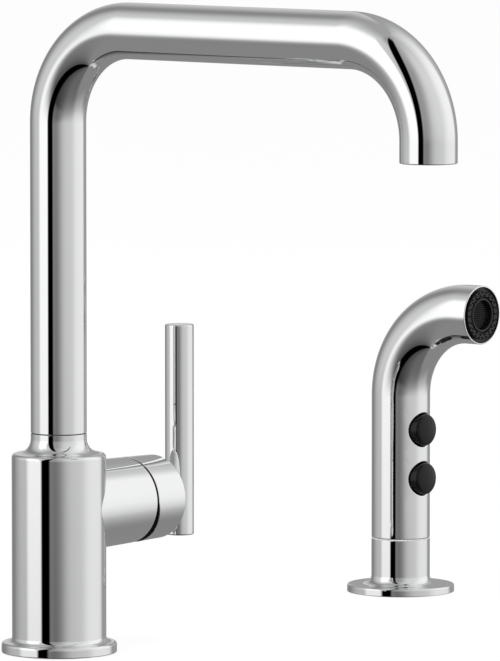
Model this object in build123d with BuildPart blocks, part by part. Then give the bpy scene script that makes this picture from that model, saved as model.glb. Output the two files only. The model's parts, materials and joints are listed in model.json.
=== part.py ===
"""Single-lever kitchen faucet with a swinging spout and a separate side spray.

Millimetres. The origin is on the faucet's axis at the deck surface, +Z is up, the side lever points along +X
and the spout reaches along -Y. The side spray stands to the +X side, in its own deck hole.
"""

from build123d import *
import math
import os

os.makedirs("parts", exist_ok=True)

# ---------------------------------------------------------------- driving dimensions

# deck and fits
deck_thickness = 20.0
thread_gap = 0.05  # between a thread and its mating wall
seat_gap = 0.1  # between a fixed piece and the bore it is pushed into
running_gap = 0.08  # radial, for bearings and spindles
body_gap = 0.3  # between pieces that move past each other

# spout
tube_radius = 12.2
tube_wall = 1.2
spout_reach = 203.2
spout_arm_height = 272.1
spout_bend_radius = 40.8
spout_drop = 50.0  # from the arm's axis down to the outlet
spout_tip_round = 0.5

# column
body_radius = 20.55
shoulder_height = 87.3
shoulder_round = 1.7
neck_fillet = 6.2
neck_height = 8.7
glide_thickness = 0.3
foot_fillet = 2.2
base_ring_radius = 25.15
base_ring_top = 5.0
base_ring_recess = 1.5  # the column's foot sinks this far into the ring
base_ring_round = 1.3
gasket_radius = 22.4
gasket_thickness = 1.4
gasket_proud = 0.4

# shank and under-deck fixing
shank_radius = 16.0
shank_bore_radius = 13.0
shank_top = 12.0
shank_drop = 62.0
shank_lead_radius = 15.2
shank_lead_length = 6.0
thread_pitch = 2.0
thread_depth = 0.8
washer_radius = 26.0
rubber_washer_thickness = 2.0
steel_washer_thickness = 2.5
nut_corner_radius = 26.0
nut_thickness = 8.0
nut_gap = 5.0
lock_screw_count = 3
lock_screw_radius = 2.5
lock_screw_circle = 20.6
lock_screw_head_radius = 4.0
lock_screw_head_height = 4.0
lock_screw_key = 3.0
lock_screw_key_depth = 3.0

# port block and water ways
port_block_height = 13.0
port_radius = 4.6
port_depth = 9.0
port_circle = 7.6
passage_radius = 2.0
seat_passage_radius = 1.8
gallery_width = 5.0
side_gallery_width = 4.0
gallery_depth = 2.0
riser_passage_x = 9.6
riser_passage_y = 10.0
seal_wire_radius = 1.0

# diverter
diverter_bore_radius = 9.0
diverter_housing_gap = 1.0  # below the spigot's bore
diverter_wall = 2.2
spool_radius = 5.4
spool_length = 9.0
spool_hole_radius = 0.7
spring_wire_radius = 0.35

# spout bearing
spigot_bore_radius = 10.3
spigot_radius = 8.6
spigot_bore_depth = 36.0
spigot_end_gap = 1.5
spigot_waterway_radius = 5.5
spigot_insert_height = 16.0
bush_height = 8.0
upper_bush_length = 8.4
lower_bush_gap = 1.8
retaining_groove_depth = 1.6
retaining_groove_height = 4.4
retaining_groove_gap = 1.4  # above the lower bush
retaining_screw_radius = 1.9
retaining_screw_key = 2.0
retaining_screw_recess = 1.5

# hub: positions along X
hub_drop = 24.4  # from the shoulder down to the hub's axis
hub_root_radius = 19.5
hub_end_radius = 18.5
hub_root_x = 20.0
hub_end_x = 64.4
sleeve_end_x = 44.4
sleeve_wall = 1.6
hub_seam = 1.0
hub_edge_round = 0.4
cap_edge_round = 0.8
boss_radius = 16.9
boss_end_x = 38.0
cartridge_seat_x = 12.0
cartridge_bore_radius = 14.0
cartridge_shoulder_x = 28.0
nut_bore_radius = 15.4

# cartridge
cartridge_base_thickness = 3.0
cartridge_cavity_radius = 12.2
cartridge_flange_thickness = 2.3
cartridge_neck_radius = 12.0
cartridge_neck_end_x = 36.0
cartridge_seal_places = (18.0, 22.0)
cartridge_seal_wire = 0.5
cartridge_groove_depth = 1.05
rotor_bore_radius = 10.1
rotor_shoulder_x = 30.0
rotor_end_x = 38.5
rotor_start_x = 26.0
disc_thickness = 3.0
fixed_disc_radius = 12.0
moving_disc_radius = 9.4
disc_port_radius = 2.4
disc_port_circle = 6.2
coupler_radius = 9.0
coupler_thickness = 3.5
handle_tilt_range = 12.0
tilt_pivot_x = 33.0
pivot_pin_radius = 1.2
pivot_pin_half_length = 9.5
stem_ball_x = 24.3
stem_ball_radius = 2.35
stem_bar_width = 5.0
stem_bar_height = 6.0
stem_square = 7.0
stem_square_x = 46.0
stem_end_x = 59.0
stem_slot_height = 10.4

# bonnet nut and inner hub
bonnet_inner_radius = 12.3
bonnet_head_radius = 16.7
bonnet_end_x = 43.0
bonnet_notch_count = 6
bonnet_notch_width = 4.0
bonnet_notch_depth = 2.4
hub_seal_thickness = 0.9
hub_seal_hole_radius = 7.6

# handle
cap_wall = 2.0
cap_cavity_x = 60.0
cap_boss_radius = 7.4
cap_boss_x = 50.0
set_screw_x = 55.0
set_screw_radius = 2.0
set_screw_length = 3.6
set_screw_key = 2.0
lever_radius = 6.4
lever_x = 81.9
lever_below_hub = 18.5
lever_above_hub = 75.0
lever_edge_round = 0.7
post_radius = 5.0
post_tenon_radius = 3.0
post_tenon_length = 3.4

# aerator
aerator_recess = 0.6
aerator_height = 9.0
aerator_wall = 1.3
aerator_lip = 1.0
aerator_core_height = 5.0
aerator_washer_thickness = 1.6
aerator_hole_radius = 1.1
mesh_thickness = 0.5
mesh_pitch = 1.9
mesh_hole = 1.2

# side spray
spray_x = 262.7
spray_y = 17.4
holder_flange_radius = 24.8
holder_flange_top = 3.9
holder_flange_round = 0.8
holder_fillet = 4.0
holder_radius = 13.55
holder_top = 25.0
holder_bore_radius = 11.75
holder_gasket_radius = 22.0
holder_gasket_thickness = 1.2
liner_wall = 1.1
liner_bottom = -10.0
liner_flange_radius = 13.4
liner_flange_thickness = 0.4
holder_shank_radius = 12.5
holder_shank_top = 12.0
holder_shank_drop = 50.0
holder_waist_radius = 10.6
holder_shank_lead_radius = 12.1
holder_shank_lead_length = 6.0
holder_thread_depth = 0.4
holder_washer_radius = 20.0
holder_nut_radius = 18.0
holder_nut_thickness = 9.0
holder_nut_wing = 7.0
holder_nut_wing_root = 1.0
holder_nut_wing_count = 4
holder_nut_wing_width = 3.0

# spray wand
wand_radius = 13.5
wand_wall = 1.3
wand_bottom = 25.7
wand_axis_height = 131.1
wand_bend_radius = 39.2
wand_reach = 47.1
wand_edge_round = 0.3
wand_spigot_radius = 10.25
wand_spigot_bottom = -14.0
wand_plug_height = 9.0
connector_radius = 8.5
connector_depth = 16.0
connector_seal_depth = 11.2
connector_bottom = -26.0
hose_thread_radius = 6.6
hose_thread_depth = 12.0
connector_waterway_radius = 3.4
core_bend_gap = 1.7  # the core ends this far below the bend
channel_y = 5.0
channel_radius = 3.5
core_gallery_height = 3.0
waterway_tube_radius = 4.6
waterway_tube_wall = 1.2
tube_socket_depth = 5.0

# wand buttons: distances from the wand's axis towards the spout side
upper_button_height = 76.1
lower_button_height = 53.5
button_radius = 7.3
button_hole_radius = 7.6
button_crown = 16.4
button_rim = 15.5
button_rim_round = 1.6
button_flange_radius = 8.4
button_flange_front = 8.4
button_flange_back = 7.2
button_travel = 2.0
button_spring_squeezed = 2.6  # length left for the spring when the button is in
plunger_radius = 1.3
plunger_end = -0.2
plunger_hole_radius = 1.5
button_spring_radius = 4.2
button_spring_wire = 0.3
button_spring_turns = 3

# spray head: distances from the wand's axis towards the outlet
face_recess_depth = 4.0
face_rim_wall = 0.55
manifold_thickness = 3.4
manifold_stub_radius = 6.6
manifold_stub_length = 4.6
face_groove_back = 0.5
face_plateau_radius = 11.3
face_plateau_proud = 0.4
nozzle_ring_radii = (9.1, 10.5)
nozzle_ring_counts = (18, 24)
nozzle_radius = 0.42
nozzle_height = 0.5
nozzle_hole_radius = 0.2
stream_radius = 7.9
stream_proud = 1.4
stream_cup_radius = 6.7
stream_cup_depth = 3.4
stream_hole_radius = 1.0
stream_hole_count = 6

# ---------------------------------------------------------------- derived places and planes

hub_taper = (hub_root_radius - hub_end_radius) / (hub_end_x - hub_root_x)
cap_start_x = sleeve_end_x + hub_seam
tube_bore_radius = tube_radius - tube_wall
deck_underside = -deck_thickness
neck_top = shoulder_height + neck_height
hub_height = shoulder_height - hub_drop
lever_bottom = hub_height - lever_below_hub
lever_top = hub_height + lever_above_hub
spout_bottom = neck_top + glide_thickness + seat_gap
spigot_bore_bottom = neck_top - spigot_bore_depth
spigot_bottom = spigot_bore_bottom + spigot_end_gap
upper_bush_bottom = neck_top - upper_bush_length
lower_bush_bottom = spigot_bore_bottom + lower_bush_gap
retaining_groove_bottom = lower_bush_bottom + bush_height + retaining_groove_gap
diverter_housing_top = spigot_bore_bottom - diverter_housing_gap
spout_tip_height = spout_arm_height - spout_drop
core_top = wand_axis_height - wand_bend_radius - core_bend_gap
button_pocket_floor = button_flange_back - button_travel - button_spring_squeezed

column_profile = Plane.XZ
hub_axis = Axis((0, 0, hub_height), (1, 0, 0))
hub_profile = Plane(origin=(0, 0, hub_height), x_dir=(1, 0, 0), z_dir=(0, -1, 0))
hub_section = Plane(origin=(0, 0, hub_height), x_dir=(0, 1, 0), z_dir=(1, 0, 0))
spray_axis = Axis((spray_x, spray_y, 0), (0, 0, 1))
spray_profile = Plane(origin=(spray_x, spray_y, 0), x_dir=(1, 0, 0), z_dir=(0, -1, 0))
spray_section = Plane(origin=(spray_x, spray_y, 0), x_dir=(1, 0, 0), z_dir=(0, 0, 1))
pivot_section = Plane(origin=(tilt_pivot_x, 0, hub_height), x_dir=(1, 0, 0), z_dir=(0, -1, 0))
lever_section = Plane(origin=(lever_x, 0, lever_bottom), x_dir=(1, 0, 0), z_dir=(0, 0, 1))
head_centre = (spray_x, spray_y, wand_axis_height)
head_section = Plane(origin=head_centre, x_dir=(1, 0, 0), z_dir=(0, -1, 0))


def hub_radius(x):
    """Outer radius of the tapered hub at a place along its axis."""
    return hub_root_radius - (x - hub_root_x) * hub_taper


def thread_points(radius, depth, top, bottom, pitch):
    """Ridges and grooves of a thread's outline, from top to bottom."""
    points = []
    ridge_count = int((top - bottom) / pitch)
    for ridge in range(ridge_count):
        ridge_top = top - ridge * pitch
        points.append((radius, ridge_top - pitch / 4))
        points.append((radius - depth, ridge_top - pitch / 2))
        points.append((radius - depth, ridge_top - pitch * 3 / 4))
        points.append((radius, ridge_top - pitch))
    return points


# ---------------------------------------------------------------- foot of the faucet

with BuildPart() as base_gasket:
    with BuildSketch(Plane.XY):
        Circle(gasket_radius)
        Circle(shank_radius + body_gap, mode=Mode.SUBTRACT)
    extrude(amount=gasket_thickness)
base_gasket.part.label = "base_gasket"
export_step(base_gasket.part, "parts/base_gasket.step")

foot_radius = body_radius + foot_fillet
foot_bottom = base_ring_top - base_ring_recess

with BuildPart() as base_ring:
    with BuildSketch(column_profile):
        with BuildLine():
            Polyline(
                (shank_radius + body_gap, gasket_thickness),
                (gasket_radius + seat_gap, gasket_thickness),
                (gasket_radius + seat_gap, gasket_proud),
                (base_ring_radius, gasket_proud),
                (base_ring_radius, base_ring_top),
                (foot_radius + thread_gap, base_ring_top),
                (foot_radius + thread_gap, foot_bottom),
                (shank_radius + body_gap, foot_bottom),
                close=True,
            )
        make_face()
    revolve(axis=Axis.Z)
    rim = base_ring.edges().filter_by(GeomType.CIRCLE)
    rim = rim.filter_by(lambda edge: abs(edge.radius - base_ring_radius) < 0.01)
    fillet(rim.sort_by(Axis.Z)[-1], radius=base_ring_round)
    fillet(
        base_ring.edges()
        .filter_by(GeomType.CIRCLE)
        .filter_by(lambda edge: abs(edge.radius - base_ring_radius) < 0.01)
        .sort_by(Axis.Z)[0],
        radius=base_ring_round / 3,
    )
base_ring.part.label = "base_ring"
export_step(base_ring.part, "parts/base_ring.step")

# ---------------------------------------------------------------- column casting

port_plate_top = shank_top + port_depth
port_block_top = port_plate_top + port_block_height
cartridge_waterway_z = hub_height - disc_port_circle
screw_height = retaining_groove_bottom + retaining_groove_height / 2

with BuildPart() as faucet_body:
    with BuildSketch(column_profile):
        with BuildLine():
            Polyline((0, foot_bottom), (foot_radius, foot_bottom), (foot_radius, base_ring_top))
            RadiusArc(
                (foot_radius, base_ring_top),
                (body_radius, base_ring_top + foot_fillet),
                foot_fillet,
            )
            Line(
                (body_radius, base_ring_top + foot_fillet),
                (body_radius, shoulder_height - shoulder_round),
            )
            RadiusArc(
                (body_radius, shoulder_height - shoulder_round),
                (body_radius - shoulder_round, shoulder_height),
                -shoulder_round,
            )
            Line(
                (body_radius - shoulder_round, shoulder_height),
                (tube_radius + neck_fillet, shoulder_height),
            )
            RadiusArc(
                (tube_radius + neck_fillet, shoulder_height),
                (tube_radius, shoulder_height + neck_fillet),
                neck_fillet,
            )
            Polyline(
                (tube_radius, shoulder_height + neck_fillet),
                (tube_radius, neck_top),
                (0, neck_top),
                (0, foot_bottom),
            )
        make_face()
    revolve(axis=Axis.Z)
    # side boss that holds the cartridge
    with BuildSketch(hub_section):
        Circle(boss_radius)
    extrude(amount=boss_end_x)
    # bores from below and above
    with BuildSketch(Plane.XY.offset(foot_bottom)):
        Circle(shank_radius + thread_gap)
    extrude(amount=port_block_top - foot_bottom, mode=Mode.SUBTRACT)
    with BuildSketch(Plane.XY.offset(port_block_top)):
        Circle(diverter_bore_radius)
    extrude(amount=spigot_bore_bottom - port_block_top, mode=Mode.SUBTRACT)
    with BuildSketch(Plane.XY.offset(spigot_bore_bottom)):
        Circle(spigot_bore_radius)
    extrude(amount=neck_top - spigot_bore_bottom, mode=Mode.SUBTRACT)
    # cartridge bore and the wider thread for its nut
    with BuildSketch(hub_section.offset(cartridge_seat_x)):
        Circle(cartridge_bore_radius)
    extrude(amount=boss_end_x - cartridge_seat_x, mode=Mode.SUBTRACT)
    with BuildSketch(hub_section.offset(cartridge_shoulder_x)):
        Circle(nut_bore_radius)
    extrude(amount=boss_end_x - cartridge_shoulder_x, mode=Mode.SUBTRACT)
    # hot and cold passages, up beside the spout bore and across into the cartridge seat
    with BuildSketch(Plane.XY.offset(port_block_top)):
        with Locations(
            (riser_passage_x, riser_passage_y), (riser_passage_x, -riser_passage_y)
        ):
            Circle(passage_radius)
    extrude(amount=hub_height + passage_radius - port_block_top, mode=Mode.SUBTRACT)
    with BuildSketch(hub_section.offset(riser_passage_x)):
        with Locations((riser_passage_y, 0), (-riser_passage_y, 0)):
            Circle(seat_passage_radius)
    extrude(amount=cartridge_seat_x - riser_passage_x, mode=Mode.SUBTRACT)
    # mixed water passage from the cartridge seat to the diverter
    with BuildSketch(hub_section.offset(diverter_bore_radius / 2)):
        with Locations((0, cartridge_waterway_z - hub_height)):
            Circle(passage_radius)
    extrude(amount=cartridge_seat_x - diverter_bore_radius / 2, mode=Mode.SUBTRACT)
    # threaded hole at the back for the screw that keeps the spout down
    with BuildSketch(Plane(origin=(0, 0, screw_height), x_dir=(1, 0, 0), z_dir=(0, 1, 0))):
        Circle(retaining_screw_radius + thread_gap)
    extrude(amount=body_radius, mode=Mode.SUBTRACT)
faucet_body.part.label = "faucet_body"
export_step(faucet_body.part, "parts/faucet_body.step")

# ---------------------------------------------------------------- port plate and port block

port_seal_height = port_plate_top + port_block_height / 2
seal_groove = 2 * (seal_wire_radius + seat_gap)

with BuildPart() as port_plate:
    with BuildSketch(Plane.XY.offset(shank_top)):
        Circle(shank_radius)
        # hot, cold and spray ports, threaded from below
        with PolarLocations(port_circle, 3, start_angle=60):
            Circle(port_radius, mode=Mode.SUBTRACT)
    extrude(amount=port_depth)
port_plate.part.label = "port_plate"
export_step(port_plate.part, "parts/port_plate.step")

with BuildPart() as port_block:
    with BuildSketch(Plane.XY.offset(port_plate_top)):
        Circle(shank_radius)
        with PolarLocations(port_circle, 3, start_angle=60):
            Circle(passage_radius, mode=Mode.SUBTRACT)
    extrude(amount=port_block_height)
    # seal groove
    with BuildSketch(column_profile):
        with Locations((shank_radius - seal_wire_radius, port_seal_height)):
            Rectangle(seal_groove, seal_groove)
    revolve(axis=Axis.Z, mode=Mode.SUBTRACT)
    # galleries in the top that lead to the casting's passages and to the diverter
    port_side_x = port_circle * math.cos(math.radians(60))
    port_side_y = port_circle * math.sin(math.radians(60))
    with BuildSketch(Plane.XY.offset(port_block_top - gallery_depth)):
        with Locations((-port_circle / 2, 0)):
            SlotCenterToCenter(port_circle, gallery_width)
        for side in (1, -1):
            gallery_start = Vector(port_side_x, side * port_side_y)
            gallery_end = Vector(riser_passage_x, side * riser_passage_y)
            gallery = gallery_end - gallery_start
            with Locations((gallery_start + gallery_end) * 0.5):
                SlotCenterToCenter(
                    gallery.length,
                    side_gallery_width,
                    rotation=math.degrees(math.atan2(gallery.Y, gallery.X)),
                )
    extrude(amount=gallery_depth, mode=Mode.SUBTRACT)
port_block.part.label = "port_block"
export_step(port_block.part, "parts/port_block.step")

with BuildPart() as port_block_seal:
    with BuildSketch(column_profile):
        with Locations((shank_radius - seal_wire_radius, port_seal_height)):
            Circle(seal_wire_radius)
    revolve(axis=Axis.Z)
port_block_seal.part.label = "port_block_seal"
export_step(port_block_seal.part, "parts/port_block_seal.step")

# ---------------------------------------------------------------- shank and under-deck fixing

thread_top = deck_underside - thread_pitch
thread_bottom = -shank_drop + shank_lead_length
nut_top = deck_underside - rubber_washer_thickness - steel_washer_thickness - nut_gap
nut_bottom = nut_top - nut_thickness

with BuildPart() as mounting_shank:
    with BuildSketch(column_profile):
        with BuildLine():
            Polyline(
                (shank_bore_radius, shank_top),
                (shank_radius, shank_top),
                (shank_radius, thread_top),
                *thread_points(shank_radius, thread_depth, thread_top, thread_bottom, thread_pitch),
                (shank_lead_radius, thread_bottom),
                (shank_lead_radius, -shank_drop),
                (shank_bore_radius, -shank_drop),
                close=True,
            )
        make_face()
    revolve(axis=Axis.Z)
mounting_shank.part.label = "mounting_shank"
export_step(mounting_shank.part, "parts/mounting_shank.step")

with BuildPart() as deck_washer:
    with BuildSketch(Plane.XY.offset(deck_underside)):
        Circle(washer_radius)
        Circle(shank_radius + body_gap, mode=Mode.SUBTRACT)
    extrude(amount=-rubber_washer_thickness)
deck_washer.part.label = "deck_washer"
export_step(deck_washer.part, "parts/deck_washer.step")

with BuildPart() as clamp_washer:
    with BuildSketch(Plane.XY.offset(deck_underside - rubber_washer_thickness)):
        Circle(washer_radius)
        Circle(shank_radius + body_gap, mode=Mode.SUBTRACT)
    extrude(amount=-steel_washer_thickness)
clamp_washer.part.label = "clamp_washer"
export_step(clamp_washer.part, "parts/clamp_washer.step")

with BuildPart() as mounting_nut:
    with BuildSketch(Plane.XY.offset(nut_top)):
        RegularPolygon(radius=nut_corner_radius, side_count=6)
        Circle(shank_radius + thread_gap, mode=Mode.SUBTRACT)
        with PolarLocations(lock_screw_circle, lock_screw_count):
            Circle(lock_screw_radius + thread_gap, mode=Mode.SUBTRACT)
    extrude(amount=-nut_thickness)
mounting_nut.part.label = "mounting_nut"
export_step(mounting_nut.part, "parts/mounting_nut.step")

lock_screw_tip = nut_top + nut_gap
lock_screw_seat = nut_bottom - body_gap

with BuildPart() as lock_screws:
    with BuildSketch(Plane.XY.offset(lock_screw_seat)):
        with PolarLocations(lock_screw_circle, lock_screw_count):
            Circle(lock_screw_radius)
    extrude(amount=lock_screw_tip - lock_screw_seat)
    with BuildSketch(Plane.XY.offset(lock_screw_seat)):
        with PolarLocations(lock_screw_circle, lock_screw_count):
            Circle(lock_screw_head_radius)
    extrude(amount=-lock_screw_head_height)
    with BuildSketch(Plane.XY.offset(lock_screw_seat - lock_screw_head_height)):
        with PolarLocations(lock_screw_circle, lock_screw_count):
            RegularPolygon(radius=lock_screw_key, side_count=6)
    extrude(amount=lock_screw_key_depth, mode=Mode.SUBTRACT)
lock_screws.part.label = "lock_screws"
export_step(lock_screws.part, "parts/lock_screws.step")

# ---------------------------------------------------------------- diverter

diverter_radius = diverter_bore_radius - seat_gap
diverter_cavity_radius = spool_radius + running_gap
diverter_cavity_bottom = port_block_top + diverter_wall
diverter_cavity_top = diverter_housing_top - diverter_wall
spool_bottom = diverter_cavity_bottom + body_gap
spool_skirt_wall = 1.2
diverter_spring_radius = spool_radius - spool_skirt_wall - 2 * spring_wire_radius
diverter_spring_bottom = spool_bottom + spool_length / 2 + spring_wire_radius
diverter_spring_top = diverter_cavity_top - spring_wire_radius

with BuildPart() as diverter_housing:
    with BuildSketch(Plane.XY.offset(port_block_top)):
        Circle(diverter_radius)
    extrude(amount=diverter_housing_top - port_block_top)
    with BuildSketch(Plane.XY.offset(diverter_cavity_bottom)):
        Circle(diverter_cavity_radius)
    extrude(amount=diverter_cavity_top - diverter_cavity_bottom, mode=Mode.SUBTRACT)
    with BuildSketch(Plane.XY.offset(port_block_top)):
        Circle(diverter_cavity_radius / 2)
    extrude(amount=diverter_housing_top - port_block_top, mode=Mode.SUBTRACT)
    # windows that let the mixed water in
    for window_angle in (0, 90):
        window_plane = Plane(
            origin=(0, 0, cartridge_waterway_z - passage_radius),
            x_dir=(-math.sin(math.radians(window_angle)), math.cos(math.radians(window_angle)), 0),
            z_dir=(math.cos(math.radians(window_angle)), math.sin(math.radians(window_angle)), 0),
        )
        with BuildSketch(window_plane):
            Rectangle(2 * passage_radius, 2 * passage_radius)
        extrude(amount=diverter_bore_radius, both=True, mode=Mode.SUBTRACT)
diverter_housing.part.label = "diverter_housing"
export_step(diverter_housing.part, "parts/diverter_housing.step")

with BuildPart() as diverter_spool:
    with BuildSketch(Plane.XY.offset(spool_bottom)):
        Circle(spool_radius)
    extrude(amount=spool_length)
    with BuildSketch(Plane.XY.offset(spool_bottom + spool_length / 2)):
        Circle(spool_radius - spool_skirt_wall)
    extrude(amount=spool_length / 2, mode=Mode.SUBTRACT)
    with BuildSketch(Plane.XY.offset(spool_bottom)):
        with PolarLocations(spool_radius / 2, 4):
            Circle(spool_hole_radius)
    extrude(amount=spool_length, mode=Mode.SUBTRACT)
diverter_spool.part.label = "diverter_spool"
export_step(diverter_spool.part, "parts/diverter_spool.step")

with BuildPart() as diverter_spring:
    with BuildLine():
        diverter_coil = Helix(
            pitch=(diverter_spring_top - diverter_spring_bottom) / 5,
            height=diverter_spring_top - diverter_spring_bottom,
            radius=diverter_spring_radius,
            center=(0, 0, diverter_spring_bottom),
        )
    with BuildSketch(Plane(origin=diverter_coil @ 0, z_dir=diverter_coil % 0)):
        Circle(spring_wire_radius)
    sweep(path=diverter_coil, is_frenet=True)
diverter_spring.part.label = "diverter_spring"
export_step(diverter_spring.part, "parts/diverter_spring.step")

# ---------------------------------------------------------------- spout bearings and spigot

spigot_top = spout_bottom + spigot_insert_height
bush_radius = spigot_bore_radius - thread_gap
seal_groove_radius = spigot_bore_radius - 2 * seal_wire_radius - seat_gap
spout_seal_heights = (
    retaining_groove_bottom + retaining_groove_height + 3 * seal_wire_radius,
    retaining_groove_bottom + retaining_groove_height + 7 * seal_wire_radius,
)

with BuildPart() as upper_bush:
    with BuildSketch(Plane.XY.offset(upper_bush_bottom)):
        Circle(bush_radius)
        Circle(spigot_radius + running_gap, mode=Mode.SUBTRACT)
    extrude(amount=neck_top - upper_bush_bottom)
    # thin glide flange that shows as the dark line under the spout
    with BuildSketch(Plane.XY.offset(neck_top)):
        Circle(tube_radius - body_gap)
        Circle(spigot_radius + running_gap, mode=Mode.SUBTRACT)
    extrude(amount=glide_thickness)
upper_bush.part.label = "upper_bush"
export_step(upper_bush.part, "parts/upper_bush.step")

with BuildPart() as lower_bush:
    with BuildSketch(Plane.XY.offset(lower_bush_bottom)):
        Circle(bush_radius)
        Circle(spigot_radius + running_gap, mode=Mode.SUBTRACT)
    extrude(amount=bush_height)
lower_bush.part.label = "lower_bush"
export_step(lower_bush.part, "parts/lower_bush.step")

with BuildPart() as spout_spigot:
    with BuildSketch(Plane.XY.offset(spigot_bottom)):
        Circle(spigot_radius)
    extrude(amount=spout_bottom - spigot_bottom)
    with BuildSketch(Plane.XY.offset(spout_bottom)):
        Circle(tube_bore_radius - thread_gap)
    extrude(amount=spigot_insert_height)
    # land between the bushes that carries the seals
    with BuildSketch(Plane.XY.offset(spout_seal_heights[0] - 2 * seal_wire_radius)):
        Circle(spigot_bore_radius - running_gap)
    extrude(amount=8 * seal_wire_radius)
    with BuildSketch(column_profile):
        for seal_height in spout_seal_heights:
            with Locations((spigot_bore_radius, seal_height)):
                Rectangle(4 * seal_wire_radius + 2 * seat_gap, seal_groove)
        with Locations((spigot_radius, screw_height)):
            Rectangle(2 * retaining_groove_depth, retaining_groove_height)
    revolve(axis=Axis.Z, mode=Mode.SUBTRACT)
    with BuildSketch(Plane.XY.offset(spigot_bottom)):
        Circle(spigot_waterway_radius)
    extrude(amount=spigot_top - spigot_bottom, mode=Mode.SUBTRACT)
spout_spigot.part.label = "spout_spigot"
export_step(spout_spigot.part, "parts/spout_spigot.step")

with BuildPart() as spout_seals:
    with BuildSketch(column_profile):
        for seal_height in spout_seal_heights:
            with Locations((seal_groove_radius + seal_wire_radius + thread_gap, seal_height)):
                Circle(seal_wire_radius)
    revolve(axis=Axis.Z)
spout_seals.part.label = "spout_seals"
export_step(spout_seals.part, "parts/spout_seals.step")

screw_tip_y = spigot_radius - retaining_groove_depth + body_gap
screw_back_y = body_radius - retaining_screw_recess
screw_section = Plane(origin=(0, 0, screw_height), x_dir=(1, 0, 0), z_dir=(0, 1, 0))

with BuildPart() as spout_retaining_screw:
    with BuildSketch(screw_section.offset(screw_tip_y)):
        Circle(retaining_screw_radius)
    extrude(amount=screw_back_y - screw_tip_y)
    with BuildSketch(screw_section.offset(screw_back_y)):
        RegularPolygon(radius=retaining_screw_key / 2, side_count=6)
    extrude(amount=-retaining_screw_key, mode=Mode.SUBTRACT)
spout_retaining_screw.part.label = "spout_retaining_screw"
export_step(spout_retaining_screw.part, "parts/spout_retaining_screw.step")

# ---------------------------------------------------------------- spout

with BuildPart() as spout_tube:
    with BuildLine():
        spout_path = FilletPolyline(
            (0, 0, spout_bottom),
            (0, 0, spout_arm_height),
            (0, -spout_reach, spout_arm_height),
            (0, -spout_reach, spout_tip_height),
            radius=spout_bend_radius,
        )
    with BuildSketch(Plane.XY.offset(spout_bottom)):
        Circle(tube_radius)
        Circle(tube_bore_radius, mode=Mode.SUBTRACT)
    sweep(path=spout_path)
    tip_edges = spout_tube.edges().filter_by(GeomType.CIRCLE)
    tip_edges = tip_edges.filter_by(
        lambda edge: abs(edge.arc_center.Y + spout_reach) < 0.01
        and abs(edge.arc_center.Z - spout_tip_height) < 0.01
        and abs(edge.radius - tube_radius) < 0.01
    )
    fillet(tip_edges, radius=spout_tip_round)
spout_tube.part.label = "spout_tube"
export_step(spout_tube.part, "parts/spout_tube.step")

tip_section = Plane(
    origin=(0, -spout_reach, spout_tip_height + aerator_recess), x_dir=(1, 0, 0), z_dir=(0, 0, 1)
)
aerator_radius = tube_bore_radius - thread_gap
aerator_core_radius = aerator_radius - aerator_wall

with BuildPart() as aerator_housing:
    with BuildSketch(tip_section):
        Circle(aerator_radius)
        Circle(aerator_core_radius - aerator_lip, mode=Mode.SUBTRACT)
    extrude(amount=aerator_lip)
    with BuildSketch(tip_section.offset(aerator_lip)):
        Circle(aerator_radius)
        Circle(aerator_core_radius, mode=Mode.SUBTRACT)
    extrude(amount=aerator_height - aerator_lip)
aerator_housing.part.label = "aerator_housing"
export_step(aerator_housing.part, "parts/aerator_housing.step")

with BuildPart() as aerator_screen:
    with BuildSketch(tip_section.offset(aerator_lip)):
        Circle(aerator_core_radius - thread_gap)
        with GridLocations(mesh_pitch, mesh_pitch, 8, 8):
            Rectangle(mesh_hole, mesh_hole, mode=Mode.SUBTRACT)
    extrude(amount=mesh_thickness)
aerator_screen.part.label = "aerator_screen"
export_step(aerator_screen.part, "parts/aerator_screen.step")

with BuildPart() as aerator_core:
    with BuildSketch(tip_section.offset(aerator_lip + mesh_thickness)):
        Circle(aerator_core_radius - thread_gap)
        with PolarLocations(aerator_core_radius * 0.72, 12):
            Circle(aerator_hole_radius, mode=Mode.SUBTRACT)
        with PolarLocations(aerator_core_radius * 0.36, 6):
            Circle(aerator_hole_radius, mode=Mode.SUBTRACT)
    extrude(amount=aerator_core_height)
aerator_core.part.label = "aerator_core"
export_step(aerator_core.part, "parts/aerator_core.step")

with BuildPart() as aerator_washer:
    with BuildSketch(tip_section.offset(aerator_height)):
        Circle(aerator_radius)
        Circle(aerator_core_radius - aerator_lip, mode=Mode.SUBTRACT)
    extrude(amount=aerator_washer_thickness)
aerator_washer.part.label = "aerator_washer"
export_step(aerator_washer.part, "parts/aerator_washer.step")

# ---------------------------------------------------------------- hub sleeve, bonnet nut and seal

sleeve_start_x = hub_root_x / 4

with BuildPart() as hub_sleeve:
    with BuildSketch(hub_profile):
        with BuildLine():
            Polyline(
                (sleeve_start_x, hub_radius(sleeve_start_x)),
                (sleeve_end_x, hub_radius(sleeve_end_x)),
                (sleeve_end_x, hub_radius(sleeve_end_x) - sleeve_wall),
                (sleeve_start_x, hub_radius(sleeve_end_x) - sleeve_wall),
                close=True,
            )
        make_face()
    revolve(axis=hub_axis)
    fillet(
        hub_sleeve.edges()
        .filter_by(GeomType.CIRCLE)
        .filter_by(lambda edge: abs(edge.arc_center.X - sleeve_end_x) < 0.01)
        .sort_by(SortBy.LENGTH)[-1],
        radius=hub_edge_round,
    )
    # saddle that fits the column
    with BuildSketch(Plane.XY):
        Circle(body_radius)
    extrude(amount=shoulder_height, mode=Mode.SUBTRACT)
hub_sleeve.part.label = "hub_sleeve"
export_step(hub_sleeve.part, "parts/hub_sleeve.step")

sleeve_bore_radius = hub_radius(sleeve_end_x) - sleeve_wall
bonnet_start_x = cartridge_shoulder_x + cartridge_flange_thickness

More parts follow.
